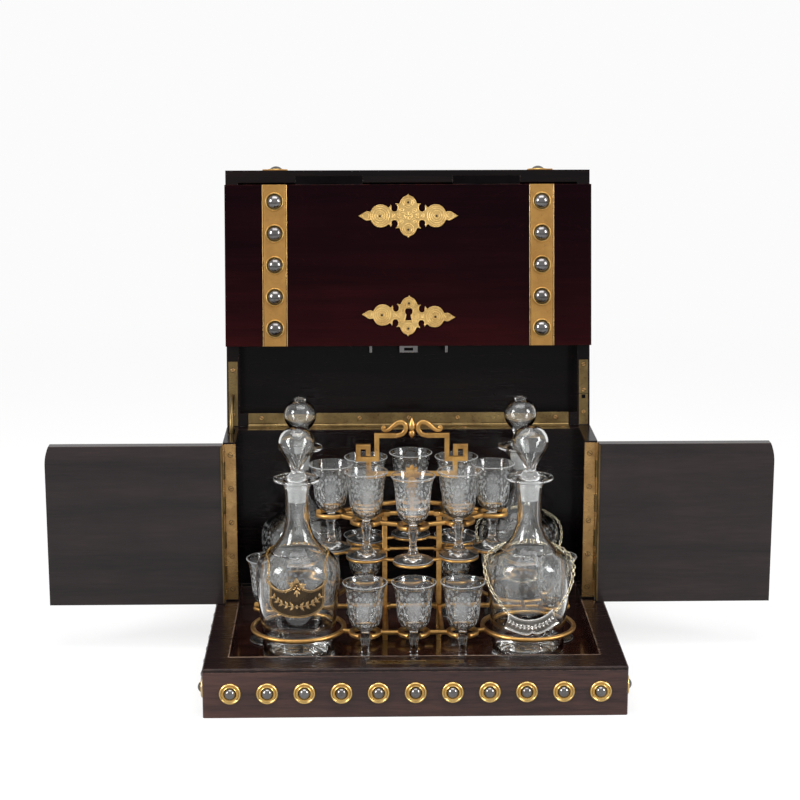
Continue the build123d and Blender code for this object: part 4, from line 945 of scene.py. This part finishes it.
loop = [upperSides[0]] + upperFront + [upperSides[1]] + upperBack[::-1]
for kind, z, deep, reach in (("foot", stand["footZ"], stand["footDeep"], stand["foot"]),
                             ("upper", stand["upperZ"], stand["deep"], stand["clip"])):
    bag = Bag()
    if kind == "foot":
        for centre in loop:
            bag.add(sweep(arcPoints(reach, 0, 352, 44, centre, z), roundBar(stand["footBar"], deep, 0.9),
                          closed=True), standShift)
    else:
        addClips(bag, upperFront, upperBack, upperSides, z)
    for a, b in zip(loop, loop[1:] + loop[:1]):
        joinTo(bag, a, b, reach, reach, z, bar, deep)
    joinTo(bag, upperSides[0], upperSides[1], reach, reach, z, bar, deep)
    for side in (-1, 1):
        for back in (-1, 1):
            corner = (side * stand["cornerX"], back * stand["cornerY"])
            joinTo(bag, (side * post, 0), corner, 0, reach, z, bar, deep)
    addCollars(bag, z, deep, 0.4)
    bag.piece(kind + "Tier", finish["standGilt"], "stand", "gilt_brass", 40, ("stand_" + kind + "_tier",))

posts = Bag()
for x in (-post, post):
    run = [(x, 0, chest["floorZ"]), (x, 0, stand["postTop"] - 0.8), (x, 0, stand["postTop"])]
    posts.add(sweep(run, roundBar(stand["post"], stand["post"], 0.7), up=(0, 1, 0), ends=[1, 1, 0.75]),
              standShift)
posts.piece("standPosts", finish["standGilt"], "stand", "gilt_brass", 40, ("stand_posts",))

# Handle: square key ends, scrolls, a bud and a palmette
handle = {"bar": 4.2, "bevel": 0.5, "key": 4.0, "leafZ": 165.8, "leaves": 7, "leafTurn": 27, "leafLong": 10.6}


def keyShape(points, width):
    # mitred outline of a bent bar, in XZ
    left, right = [], []
    for i, (x, z) in enumerate(points):
        a = Vector(points[i]) - Vector(points[i - 1]) if i > 0 else Vector(points[1]) - Vector(points[0])
        b = Vector(points[i + 1]) - Vector(points[i]) if i < len(points) - 1 else a
        a.normalize()
        b.normalize()
        na, nb = Vector((-a.y, a.x)), Vector((-b.y, b.x))
        out = (na + nb) / (1 + na.dot(nb))
        left.append((x + out.x * width / 2, z + out.y * width / 2))
        right.append((x - out.x * width / 2, z - out.y * width / 2))
    return left + right[::-1]


grip = Bag()


def addCast(outline, deep, bevel):
    # a plate that stands in the middle plane of the handle, outline in XZ
    upright = Matrix.Translation((0, deep / 2, 0)) @ Matrix.Rotation(math.radians(90), 4, "X")
    grip.add(cutPlate([outline], deep, bevel), standShift @ upright)


for side in (-1, 1):
    key = [(12.5, 201.5), (29.4, 201.6), (29.4, 181.4), (45.0, 181.4), (45.0, 192.0), (36.7, 192.0),
           (36.7, 184.0)]
    addCast(keyShape([(side * x, z) for x, z in key], handle["key"]), handle["bar"], handle["bevel"])
    inner = [(36.4, 180.5), (36.4, 168.6), (4.0, 168.6)]
    addCast(keyShape([(side * x, z) for x, z in inner], handle["key"] - 0.1), handle["bar"], handle["bevel"])
    scroll = smoothLine([(13.5, 201.5), (10.6, 201.8), (7.4, 203.3), (5.3, 206.6), (5.6, 210.4), (8.2, 212.6),
                         (11.6, 212.5), (14.6, 210.6), (17.6, 207.9), (20.6, 206.0), (23.2, 205.9),
                         (24.7, 207.5), (23.9, 209.3), (22.5, 209.0)], 5)
    last = len(scroll) - 1
    grow = [1.0 if i < last * 0.5 else 1.0 - 0.62 * (i / last - 0.5) / 0.5 for i in range(last + 1)]
    grip.add(sweep([(side * x, 0, z) for x, z in scroll], roundBar(4.0, 4.0, 1.2), up=(0, 1, 0), ends=grow),
             standShift)
    grip.add(lathe([(0, -1.5), (1.0, -1.1), (1.5, 0), (1.0, 1.1), (0, 1.5)], 16),
             standShift @ Matrix.Translation((side * 23.1, 0, 208.3)))
bud = [(0.0, 217.2), (0.6, 215.8), (1.5, 213.6), (2.7, 211.4), (3.1, 209.6), (2.9, 207.6), (2.1, 206.1),
       (1.8, 205.6), (2.5, 204.9), (2.9, 203.4), (2.5, 201.8), (1.6, 200.8), (1.2, 200.2), (0.7, 199.4),
       (0.0, 198.9)]
grip.add(lathe(bud[::-1], 28), standShift)
stem = [(1.9, 135.8), (2.3, 146.0), (4.2, 158.0), (4.2, 163.0)]
addCast([(-1.9, 135.8)] + stem + [(-x, z) for x, z in stem[:0:-1]], 3.4, 0.4)
for i in range(-(handle["leaves"] // 2), handle["leaves"] // 2 + 1):
    turn = math.radians(90 - i * handle["leafTurn"])
    tip = handle["leafLong"] - 1.15 * abs(i)
    leaf = smoothLine([(0, 0), (tip * 0.4, 1.2), (tip * 0.72, 1.9), (tip * 0.9, 1.1), (tip, 0.0),
                       (tip * 0.9, -1.1), (tip * 0.72, -1.9), (tip * 0.4, -1.2), (0, 0)], 3)[:-1]
    z = handle["leafZ"]
    shape = [(x * math.cos(turn) - y * math.sin(turn), z + x * math.sin(turn) + y * math.cos(turn))
             for x, y in leaf]
    deep = 4.3 - 0.35 * abs(i)
    addCast(shape, deep, 0.5)
    vein = [(far * math.cos(turn), -deep / 2, z + far * math.sin(turn)) for far in (1.5, tip * 0.85)]
    grip.add(sweep(vein, roundBar(0.7, 0.6, 0.25, 2), up=(0, 1, 0), ends=[1.3, 0.6]), standShift)
for side in (-1, 1):
    frond = smoothLine([(0.0, 158.5), (2.6, 159.6), (4.9, 157.9), (5.4, 155.0), (3.9, 156.2), (2.2, 154.0),
                        (0.0, 151.0)], 3)
    addCast([(side * x, z) for x, z in frond], 4.4, 0.5)
addCast([(x, z) for x, z, _ in arcPoints(3.4, 0, 350, 35, (0, 162.6))], 5.0, 0.9)
grip.piece("standHandle", finish["standGilt"], "stand", "gilt_brass", 40, ("stand_handle",))
print("stand made")

# Liqueur glasses: a clear foot and stem, a cut bowl, and pale frosted films on the rims and feet as painted
# highlights
glassShape = {
    "outer": [(16.5, 0.0), (16.6, 0.7), (16.2, 1.2), (11.8, 2.3), (7.6, 3.9), (5.0, 6.2), (3.6, 9.2),
              (3.0, 12.8), (3.0, 16.8), (3.4, 20.6), (4.1, 23.6), (4.0, 25.4), (3.3, 27.4), (3.1, 29.2),
              (3.4, 30.6), (4.4, 31.9), (6.9, 33.3), (10.0, 35.6), (12.0, 38.8), (13.2, 42.6), (13.9, 47.4),
              (14.3, 53.0), (14.9, 59.5), (15.7, 65.0), (16.9, 69.6), (18.2, 72.0), (18.4, 72.6),
              (17.95, 73.0)],
    "inner": [(17.5, 72.8), (17.1, 71.8), (16.0, 69.2), (14.8, 64.6), (14.0, 59.2), (13.4, 53.0),
              (13.0, 47.6), (12.2, 43.2), (10.8, 39.8), (8.6, 37.0), (5.6, 35.5), (2.6, 34.8), (0.0, 34.6)],
}
profile = [(0.0, 0.6), (8.0, 0.5), (14.5, 0.0)]
profile += smoothLine(glassShape["outer"], 3) + smoothLine(glassShape["inner"], 3)
glassMesh = lathe(profile, 72)
cutBand = {"low": 34.5, "high": 70.5, "proud": 0.06}
bowlLine = [(r + cutBand["proud"], z) for r, z in smoothLine(glassShape["outer"], 3)
            if cutBand["low"] < z < cutBand["high"]]
bowlMesh = lathe(bowlLine, 48)
footMesh = lathe([(15.9, 1.33), (11.8, 2.36), (7.6, 3.98), (5.1, 6.2)], 48)
rimMesh = lathe([(18.46, 72.5), (18.2, 73.02), (17.75, 73.05)], 64)
footRimMesh = lathe([(16.66, 0.5), (16.64, 0.85), (16.3, 1.22)], 64)
lowFoot, highFoot = chest["floorZ"], chest["upperFloorZ"]
glassSets = {  # node: body, places, height of the feet
    "glasses_lower_front": ("stand", lowerFront, lowFoot),
    "glasses_lower_back": ("stand", [lowerBack[0], lowerBack[2]], lowFoot),
    "glasses_lower_sides": ("stand", lowerSides, lowFoot),
    "glasses_upper_back": ("stand", upperBack, highFoot),
    "glass_front_left": ("glass_front_left", upperFront[:1], highFoot),
    "glass_front_centre": ("glass_front_centre", upperFront[1:2], highFoot),
    "glass_front_right": ("glass_front_right", upperFront[2:], highFoot),
    "glass_side_left": ("glass_side_left", upperSides[:1], highFoot),
    "glass_side_right": ("glass_side_right", upperSides[1:], highFoot),
}


def camel(words):
    head, *rest = words.split("_")
    return head + "".join(w.title() for w in rest)


for node, (body, spots, foot) in glassSets.items():
    name = camel(node)
    bag, film, haze, rims = Bag(), Bag(), Bag(), Bag()
    for x, y in spots:
        turn = Matrix.Rotation(pick.uniform(-0.25, 0.25) - math.pi / 4, 4, "Z")
        place = standShift @ Matrix.Translation((x, y, foot + chest["seatGap"])) @ turn
        bag.add(glassMesh, place)
        film.add(bowlMesh, place)
        # pale films on the feet and rims: painted highlights
        haze.add(footMesh, place)
        rims.add(rimMesh, place)
        rims.add(footRimMesh, place)
    bag.piece(name, finish["liqueurGlass"], body, "glass", 60, (node,))
    film.piece(name + "Cutting", finish["bowlFrost"], body, "glass", 60)
    haze.piece(name + "Feet", finish["footPaintedHighlight"], body, "glass", 60)
    rims.piece(name + "Rims", finish["rimPaintedHighlight"], body, "glass", 60)

# Decanters, thick in the foot, and blown stoppers in ground necks
decanterShape = {
    "mouth": 158.0, "cut": (62, 91),
    "foot": [(0.0, 5.5), (9.0, 4.9), (17.0, 3.2), (23.0, 1.2), (26.5, 0.1)],
    "outer": [(28.9, 0.0), (29.6, 0.8), (29.7, 6.0), (29.8, 13.0), (30.3, 24.0), (31.1, 34.0), (32.2, 45.0),
              (33.4, 57.0), (34.3, 66.0), (34.6, 73.0), (34.5, 79.0), (33.8, 83.6), (32.2, 87.4),
              (30.0, 90.2), (27.4, 92.0), (24.6, 93.4), (22.6, 94.4), (22.2, 95.2), (22.4, 96.2),
              (21.4, 97.4), (19.6, 99.2), (17.2, 102.0), (14.9, 105.4), (13.0, 109.0), (11.6, 113.0),
              (10.6, 117.0), (9.9, 121.0), (9.6, 127.0), (9.6, 133.0), (9.7, 140.0), (9.9, 146.0),
              (10.4, 149.2), (11.9, 151.8), (15.0, 153.6), (18.2, 154.8), (19.1, 155.7), (19.1, 156.5),
              (18.4, 157.0), (15.4, 156.3), (12.0, 155.8), (9.8, 156.2), (8.8, 157.3)],
    "inner": [(8.3, 157.7), (7.4, 137.0), (7.1, 127.0), (7.4, 121.0), (8.2, 116.5), (9.4, 112.5),
              (11.0, 108.5), (13.0, 104.8), (15.4, 101.4), (17.6, 98.6), (19.6, 96.2), (21.4, 94.0),
              (24.6, 91.6), (27.6, 89.4), (29.8, 86.4), (31.2, 82.4), (31.8, 78.0), (31.8, 73.0),
              (31.2, 62.0), (30.0, 48.0), (28.4, 30.0), (27.4, 16.0), (25.8, 10.8), (21.5, 8.8), (15.0, 9.6),
              (8.0, 11.4), (0.0, 12.2)],
}
stopperNeck = [(0.0, -21.0), (6.6, -21.0), (7.2, -20.4), (8.0, 0.0), (8.0, 0.8)]
stopperShapes = {
    "front": [(6.6, 2.0), (5.3, 3.6), (4.9, 5.6), (5.2, 7.6), (6.6, 11.0), (9.0, 15.4),
              (12.2, 20.4), (14.2, 24.8), (14.7, 28.4), (14.0, 32.4), (11.8, 36.6), (8.2, 39.6), (4.0, 40.9),
              (0.0, 41.1)],
    "rear": [(6.6, 2.0), (5.3, 3.6), (4.9, 5.6), (5.2, 8.0), (6.0, 11.0), (7.6, 14.2),
             (10.6, 18.0), (13.2, 22.4), (14.2, 27.0), (13.6, 31.6), (11.4, 35.6), (8.0, 38.6), (5.0, 39.9),
             (4.9, 40.6), (5.2, 41.4), (4.6, 42.3), (0.0, 42.5)],
}
# The air inside each blown stopper
stopperHollows = {
    "front": [(0.0, 3.2), (1.1, 4.4), (1.9, 7.2), (3.4, 10.8), (5.9, 14.6), (8.9, 18.8), (11.4, 22.2),
              (12.9, 25.6), (13.4, 28.4), (12.7, 32.0), (10.7, 35.5), (7.4, 38.2), (3.6, 39.5), (0.0, 39.7)],
    "rear": [(0.0, 3.6), (1.1, 4.8), (1.8, 7.6), (3.0, 11.2), (5.0, 14.2), (8.0, 17.6), (10.7, 20.8),
             (12.4, 23.8), (12.9, 27.0), (12.3, 31.1), (10.3, 34.6), (7.2, 37.2), (3.6, 38.5), (0.0, 38.7)],
}
groundJoint = [(7.26, -20.2), (7.34, -18.0), (8.05, -1.5)]
decanterOutside = smoothLine(decanterShape["outer"], 3)
bottleMesh = lathe(decanterShape["foot"] + decanterOutside + smoothLine(decanterShape["inner"], 3), 96)
cutLow, cutHigh = decanterShape["cut"]
bodyMesh = lathe([(r + cutBand["proud"], z) for r, z in decanterOutside if cutLow < z < cutHigh], 72)
bottleFoot = chest["floorZ"] + chest["seatGap"]

for corner, (x, y) in zip(("front_left", "front_right", "rear_left", "rear_right"), decanterPlaces):
    bottle, stopper = "decanter_" + corner, "stopper_" + corner
    base = standShift @ Matrix.Translation((x, y, bottleFoot))
    place = base @ Matrix.Rotation(pick.uniform(-0.3, 0.3), 4, "Z")
    Bag().add(bottleMesh, place).piece(camel(bottle), finish["decanterGlass"], bottle, "glass", 60, (bottle,))
    facing = base @ Matrix.Rotation(-math.pi / 2, 4, "Z")
    Bag().add(bodyMesh, facing).piece(camel(bottle) + "Cutting", finish["bodyFrost"], bottle, "glass", 60)
    kind = corner.split("_")[0]
    shape, hollow = stopperShapes[kind], smoothLine(stopperHollows[kind], 4)[::-1]
    top = place @ Matrix.Translation((0, 0, decanterShape["mouth"]))
    blown = Bag().add(lathe(stopperNeck + smoothLine(shape, 4), 72), top).add(lathe(hollow, 72), top)
    blown.piece(camel(stopper), finish["plainGlass"], stopper, "glass", 50, (stopper,))
    Bag().add(lathe(groundJoint, 48), top).piece(camel(stopper) + "Ground", finish["jointFrost"], stopper,
                                                 "glass", 50)
print("glassware made")

# Bottle labels, bent round the glass, with a raised rim and no lettering
labels = {
    "left": {"centre": (-95, -49, 86.7), "inner": 35.3, "thick": 1.2, "turn": 0.0, "rim": 1.0,
             "look": "labelBronze"},
    "right": {"centre": (95, -49, 65.6), "inner": 34.4, "thick": 1.2, "turn": 5.0, "rim": 0.9,
              "look": "labelSilver"},
}
labelShapes = {
    "left": [(24, 14.5), (22.3, 9), (22.3, -1), (20.5, -8.5), (12, -13.6), (0, -15), (-12, -13.6),
             (-20.5, -8.5), (-22.3, -1), (-22.3, 9), (-24, 14.5), (-19.5, 10), (-12, 7.6), (-5.5, 9.8),
             (-2.6, 14), (0, 18.2), (2.6, 14), (5.5, 9.8), (12, 7.6), (19.5, 10), (24, 14.5)],
    "right": [(18, 8.5), (19.2, 1.5), (22.5, -4.2), (11, -8.4), (4, -10), (0, -8.2), (-4, -10), (-11, -8.4),
              (-22.5, -4.2), (-19.2, 1.5), (-18, 8.5), (-10, 4.2), (0, 2.6), (10, 4.2), (18, 8.5)],
}


def bend(look, x, z, rise):
    turn = math.radians(look["turn"])
    across, up = x * math.cos(turn) - z * math.sin(turn), x * math.sin(turn) + z * math.cos(turn)
    cx, cy, cz = look["centre"]
    angle = math.asin(max(-1, min(1, across / (look["inner"] + look["thick"]))))
    reach = look["inner"] + rise
    return (cx + reach * math.sin(angle), cy - reach * math.cos(angle), cz + up)


def bentPlate(look, outline):
    # rings from the middle of the front, over the rim, round to the back
    middle = (0, -3)
    steps = [(0.0, 0.9), (0.25, 0.9), (0.5, 0.9), (0.7, 0.9), (0.84, 0.9), (0.9, 0.95), (0.93, 1.25),
             (0.965, 1.3), (1.0, 1.0), (1.0, 0.1), (0.97, 0.0), (0.6, 0.0), (0.0, 0.0)]
    verts, faces = [], []
    highest = max(rise for _, rise in steps)
    for share, rise in steps:
        for x, z in outline:
            nearX, nearZ = middle[0] + (x - middle[0]) * share, middle[1] + (z - middle[1]) * share
            verts.append(bend(look, nearX, nearZ, rise * look["thick"] / highest))
    count = len(outline)
    for i in range(len(steps) - 1):
        for k in range(count):
            n = (k + 1) % count
            faces.append((i * count + k, (i + 1) * count + k, (i + 1) * count + n, i * count + n))
    return verts, faces, None


def bentLine(look, points, width, rise):
    path = [bend(look, x, z, rise) for x, z in smoothLine(points, 4)]
    last = len(path) - 1
    ends = [0.5 + 0.5 * math.sin(math.pi * (0.15 + 0.7 * i / last)) for i in range(last + 1)]
    return sweep(path, roundBar(width, width, width * 0.4, 2), up=(0, -1, 0.01), ends=ends)


def cornered(points, steps, corners):
    # smooth between the named corner points only
    line, start = [], 0
    for i in range(1, len(points)):
        if i in corners or i == len(points) - 1:
            line += smoothLine(points[start:i + 1], steps)[:-1]
            start = i
    return line


labelCorners = {"left": (10, 14, 15, 16), "right": (2, 5, 8, 10)}
labelFields = {
    "left": {"recess": "labelBronze", "line": "labelGold", "rim": 0.9,
             "stem": [(-18.8, 1.2), (-13.5, -3.2), (-6.5, -5.2), (0.0, -5.6)], "leaf": 5.0, "wide": 2.1,
             "pairs": 5, "lean": 52},
    "right": {"recess": "silverRecess", "line": "labelSilver", "rim": 1.3,
              "stem": [(-17.0, 0.9), (-12.0, -1.9), (-6.0, -3.4), (0.0, -3.9)], "leaf": 3.8, "wide": 1.7,
              "pairs": 6, "lean": 50},
}


def berry(look, x, z, rise, segments):
    bead = [(0, -0.8), (0.6, -0.55), (0.85, 0), (0.6, 0.55), (0, 0.8)]
    return lathe(bead, segments), Matrix.Translation(bend(look, x, z, rise))


def leafOn(look, x, z, turn, long, wide, rise):
    # one leaf, pointed at both ends, from its foot at x, z
    steps = 8
    reaches = [long * i / steps for i in range(steps + 1)]
    path = [bend(look, x + far * math.cos(turn), z + far * math.sin(turn), rise) for far in reaches]
    ends = [max(0.12, math.sin(math.pi * (i / steps) ** 0.8) ** 0.8) for i in range(steps + 1)]
    return sweep(path, roundBar(wide, 0.9, 0.4, 2), up=(0, -1, 0.01), ends=ends)


def laurelRow(look, field):
    # two branches that meet in the middle, leaves in pairs
    parts = Bag()
    for side in (-1, 1):
        stem = smoothLine([(-side * x, z) for x, z in field["stem"]], 8)
        parts.add(sweep([bend(look, x, z, 1.1) for x, z in stem], roundBar(0.7, 0.7, 0.28, 2),
                        up=(0, -1, 0.01)))
        for i in range(field["pairs"]):
            at = (i + 0.25) / field["pairs"] * (len(stem) - 1)
            a, b = stem[int(at)], stem[min(int(at) + 1, len(stem) - 1)]
            along = math.atan2(a[1] - b[1], a[0] - b[0])
            grow = 0.72 + 0.28 * i / field["pairs"]
            for lean in (-1, 1):
                turn = along + lean * math.radians(field["lean"])
                parts.add(leafOn(look, a[0], a[1], turn, field["leaf"] * grow, field["wide"], 1.15))
    for z in (-0.9, 0.9):
        parts.add(*berry(look, 0.0, field["stem"][-1][1] + z, 1.2, 12))
    return parts.verts, parts.faces, None


for side, look in labels.items():
    field = labelFields[side]
    outline = cornered(labelShapes[side], 4, labelCorners[side])
    body = "decanter_front_" + side
    Bag().add(bentPlate(look, outline)).piece("label" + side.title(), finish[field["recess"]], body,
                                              "aged_brass", 50, ("label_" + side,))
    lines = Bag()
    for inset, size in ((0.35, field["rim"]), (1.5, 0.4)):
        rim = [bend(look, x, z, 1.2) for x, z in drawnIn(outline, inset)]
        lines.add(sweep(rim, roundBar(size, size * 0.8, size * 0.3, 2), closed=True, up=(0, -1, 0.01)))
    lines.add(laurelRow(look, field))
    lines.piece("label" + side.title() + "Relief", finish[field["line"]], body, "aged_brass", 40)

# Vine sprig on the bronze label: three-lobed leaves at x, z, turn and size, with berries between them
vine = {
    "leaves": [(-2.6, 12.4, 150, 4.6), (2.8, 11.6, 20, 4.6), (0.2, 8.2, -90, 5.2), (-0.4, 14.6, 95, 3.6)],
    "berries": [(-1.2, 10.6), (1.0, 10.2), (0.0, 12.4), (-2.2, 9.2), (2.2, 9.0)], "spread": 38, "lobe": 0.72,
}
sprig = Bag()
look = labels["left"]
for x, z, turn, size in vine["leaves"]:
    for lobe in (-1, 0, 1):
        reach = size * (vine["lobe"] if lobe else 1.0)
        a = math.radians(turn + lobe * vine["spread"])
        tip = (x + reach * math.cos(a), z + reach * math.sin(a))
        sprig.add(bentLine(look, [(x, z), ((x + tip[0]) / 2, (z + tip[1]) / 2), tip], 1.5, 1.35))
for x, z in vine["berries"]:
    sprig.add(*berry(look, x, z, 1.5, 10))
sprig.piece("labelLeftSprig", finish["labelGold"], "decanter_front_left", "aged_brass", 40)

# Chains of separate links, through (turn from the front, reach, height) points about an axis
chains = {
    "left": {"axis": (-95, -49), "link": (3.4, 2.3, 0.45), "look": "chainGold", "body": "decanter_front_left",
             "stands": ("chain_left",),
             "points": [(41, 36.8, 100.6), (40, 36.4, 104.0), (41, 35.2, 108.5), (46, 31.8, 113.0),
                        (60, 27.8, 115.8), (90, 24.8, 117.0), (130, 24.2, 117.4), (180, 24.2, 117.5)]},
    "right": {"axis": (95, -49), "link": (5.0, 3.3, 0.72), "look": "chainPale",
              "body": "decanter_front_right", "stands": ("chain_right",),
              "points": [(31, 37.0, 72.6), (42, 37.2, 79.5), (58, 37.2, 88.5), (74, 37.0, 98.0),
                         (86, 36.6, 105.0), (98, 34.6, 110.5), (115, 29.8, 114.8), (140, 25.6, 117.0),
                         (180, 24.8, 117.6)]},
    "rear": {"axis": (95, 57), "link": (3.6, 2.4, 0.5), "look": "chainPale", "body": "decanter_rear_right",
             "stands": (),
             "points": [(0, 34.6, 66.5), (20, 35.4, 69.5), (40, 36.4, 77.0), (60, 36.8, 87.0),
                        (78, 37.2, 97.0), (90, 37.2, 104.0), (100, 34.6, 110.5), (116, 29.6, 114.8),
                        (140, 25.4, 117.0), (180, 24.6, 117.6)]},
}


def chainLink(long, wide, wire):
    half, side = (long - wide) / 2, (wide - wire) / 2
    turns = [-math.pi / 2 + math.pi * i / 5 for i in range(6)]
    loop = [(half + side * math.cos(turn), side * math.sin(turn), 0) for turn in turns]
    loop += [(-x, -y, 0) for x, y, _ in loop]
    return sweep(loop, roundBar(wire, wire, wire * 0.45, 1), closed=True)


def chainPath(look):
    points = look["points"]
    route = [(-a, r, z) for a, r, z in points] + [(a - 360, r, z) for a, r, z in points[-2::-1]]
    cx, cy = look["axis"]
    return [Vector((cx + r * math.sin(math.radians(a)), cy - r * math.cos(math.radians(a)), z))
            for a, r, z in smoothLine(route, 12)]


for side, look in chains.items():
    path = chainPath(look)
    long, wide, wire = look["link"]
    pitch = long - 2.1 * wire
    bag, link = Bag(), chainLink(long, wide, wire)
    travelled, due, index = 0.0, 0.0, 0
    for a, b in zip(path, path[1:]):
        step = (b - a).length
        while due <= travelled + step:
            spot = a.lerp(b, (due - travelled) / step)
            along = (b - a).normalized()
            out = Vector((spot.x - look["axis"][0], spot.y - look["axis"][1], 0)).normalized()
            out = (out - along * out.dot(along)).normalized()
            frameTurn = Matrix((along, out.cross(along), out)).transposed().to_4x4()
            roll = math.radians(12 if index % 2 else 102) + pick.uniform(-0.15, 0.15)
            bag.add(link, Matrix.Translation(spot) @ frameTurn @ Matrix.Rotation(roll, 4, "X"))
            due += pitch
            index += 1
        travelled += step
    bag.piece("chain" + side.title(), finish[look["look"]], look["body"], "aged_brass", 40, look["stands"])
print("labels and chains made")

# Camera, light and floor
camera = bpy.data.objects.new("camera", bpy.data.cameras.new("camera"))
bpy.context.scene.collection.objects.link(camera)
bpy.context.scene.camera = camera
view = {"place": (-0.04179, -1.6297, 0.5946), "pitch": 0.21844, "yaw": 0.0195, "roll": -0.00075,
        "lens": 90.22}


def aimCamera():
    p, w, r = view["pitch"], view["yaw"], view["roll"]
    forward = Vector((math.sin(w) * math.cos(p), math.cos(w) * math.cos(p), -math.sin(p)))
    right = Vector((math.cos(w), -math.sin(w), 0))
    up = right.cross(forward)
    x = right * math.cos(r) + up * math.sin(r)
    y = -right * math.sin(r) + up * math.cos(r)
    turn = Matrix((x, y, -forward)).transposed().to_4x4()
    camera.matrix_world = Matrix.Translation(view["place"]) @ turn
    camera.data.lens, camera.data.sensor_width = view["lens"], 36.0


aimCamera()

lights = {
    "leftBox": {"place": (-1.6, -0.85, 1.0), "size": (0.6, 0.9), "power": 24.0},
    "rightBox": {"place": (1.65, -0.85, 1.0), "size": (0.6, 0.9), "power": 24.0},
    "topBox": {"place": (0.0, -0.3, 1.8), "size": (1.5, 0.8), "power": 14.0},
}
for name, look in lights.items():
    data = bpy.data.lights.new(name, "AREA")
    data.shape, data.energy = "RECTANGLE", look["power"]
    data.size, data.size_y = look["size"]
    lamp = bpy.data.objects.new(name, data)
    bpy.context.scene.collection.objects.link(lamp)
    lamp.location = look["place"]
    lamp.rotation_euler = (Vector((0, 0, 0.15)) - Vector(look["place"])).to_track_quat("-Z", "Y").to_euler()

world = bpy.data.worlds.new("studio")
bpy.context.scene.world = world
world.use_nodes = True
worldTree = Tree(world.node_tree)
worldLook = {"white": 0.965, "gloss": 0.65, "fill": 0.45}
rays = worldTree.node("LightPath")
seen = worldTree.math("MAXIMUM", rays.outputs["Is Camera Ray"], rays.outputs["Is Transmission Ray"])
dim = worldTree.ramp(rays.outputs["Is Glossy Ray"], 0.0, 1.0, worldLook["fill"], worldLook["gloss"])
strength = worldTree.math("MAXIMUM", dim, worldTree.math("MULTIPLY", seen, worldLook["white"]))
background = world.node_tree.nodes["Background"]
background.inputs["Color"].default_value = (1, 1, 1, 1)
worldTree.join(strength, background.inputs["Strength"])

# The floor is white where it is seen, keeps the shadow, and fades into the backdrop
floorLook = {"size": 6.0, "paper": (0.34, 0.34, 0.34, 1), "paperDark": (0.32, 0.32, 0.32, 1), "lift": 0.7,
             "near": 0.6, "far": 1.7, "gloss": 0.3}
floorMaterial, floorTree, floorShader, floorPlace = newMaterial("paleFloor")
paper = floorTree.noise(floorPlace, 300.0, 2.0, 0.5)
away = floorTree.node("VectorMath", operation="LENGTH")
floorTree.join(floorPlace, away.inputs[0])
fade = floorTree.ramp(away.outputs["Value"], floorLook["near"], floorLook["far"])
sheet = floorTree.mix(floorTree.ramp(paper, 0.3, 0.7), floorLook["paper"], floorLook["paperDark"])
floorTree.join(floorTree.mix(fade, sheet, (0, 0, 0, 1)), floorShader.inputs["Base Color"])
floorRays = floorTree.node("LightPath")
lift = floorTree.ramp(fade, 0.0, 1.0, floorLook["lift"], worldLook["white"])
looked = floorTree.math("MAXIMUM", floorRays.outputs["Is Camera Ray"],
                        floorRays.outputs["Is Transmission Ray"])
shown = floorTree.math("MULTIPLY", looked, lift)
mirrored = floorTree.math("MULTIPLY", floorRays.outputs["Is Glossy Ray"], floorLook["gloss"])
glow = floorTree.math("MAXIMUM", shown, mirrored)
floorTree.join(glow, floorShader.inputs["Emission Color"])
floorShader.inputs["Emission Strength"].default_value = 1.0
floorShader.inputs["Roughness"].default_value = 0.8
floorShader.inputs["Specular IOR Level"].default_value = 0.0
floorMesh = bpy.data.meshes.new("floor")
half = floorLook["size"]
corners = [(-half, -half, 0), (half, -half, 0), (half, half, 0), (-half, half, 0)]
floorMesh.from_pydata(corners, [], [(0, 1, 2, 3)])
floorMesh.materials.append(floorMaterial)
floor = bpy.data.objects.new("floor", floorMesh)
bpy.context.scene.collection.objects.link(floor)
floor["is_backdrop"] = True
bpy.context.scene.view_settings.view_transform = "Standard"
print("stage made")

sizes = {"frame": [list(c) for c in cadBounds], "visual": [list(c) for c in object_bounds()]}
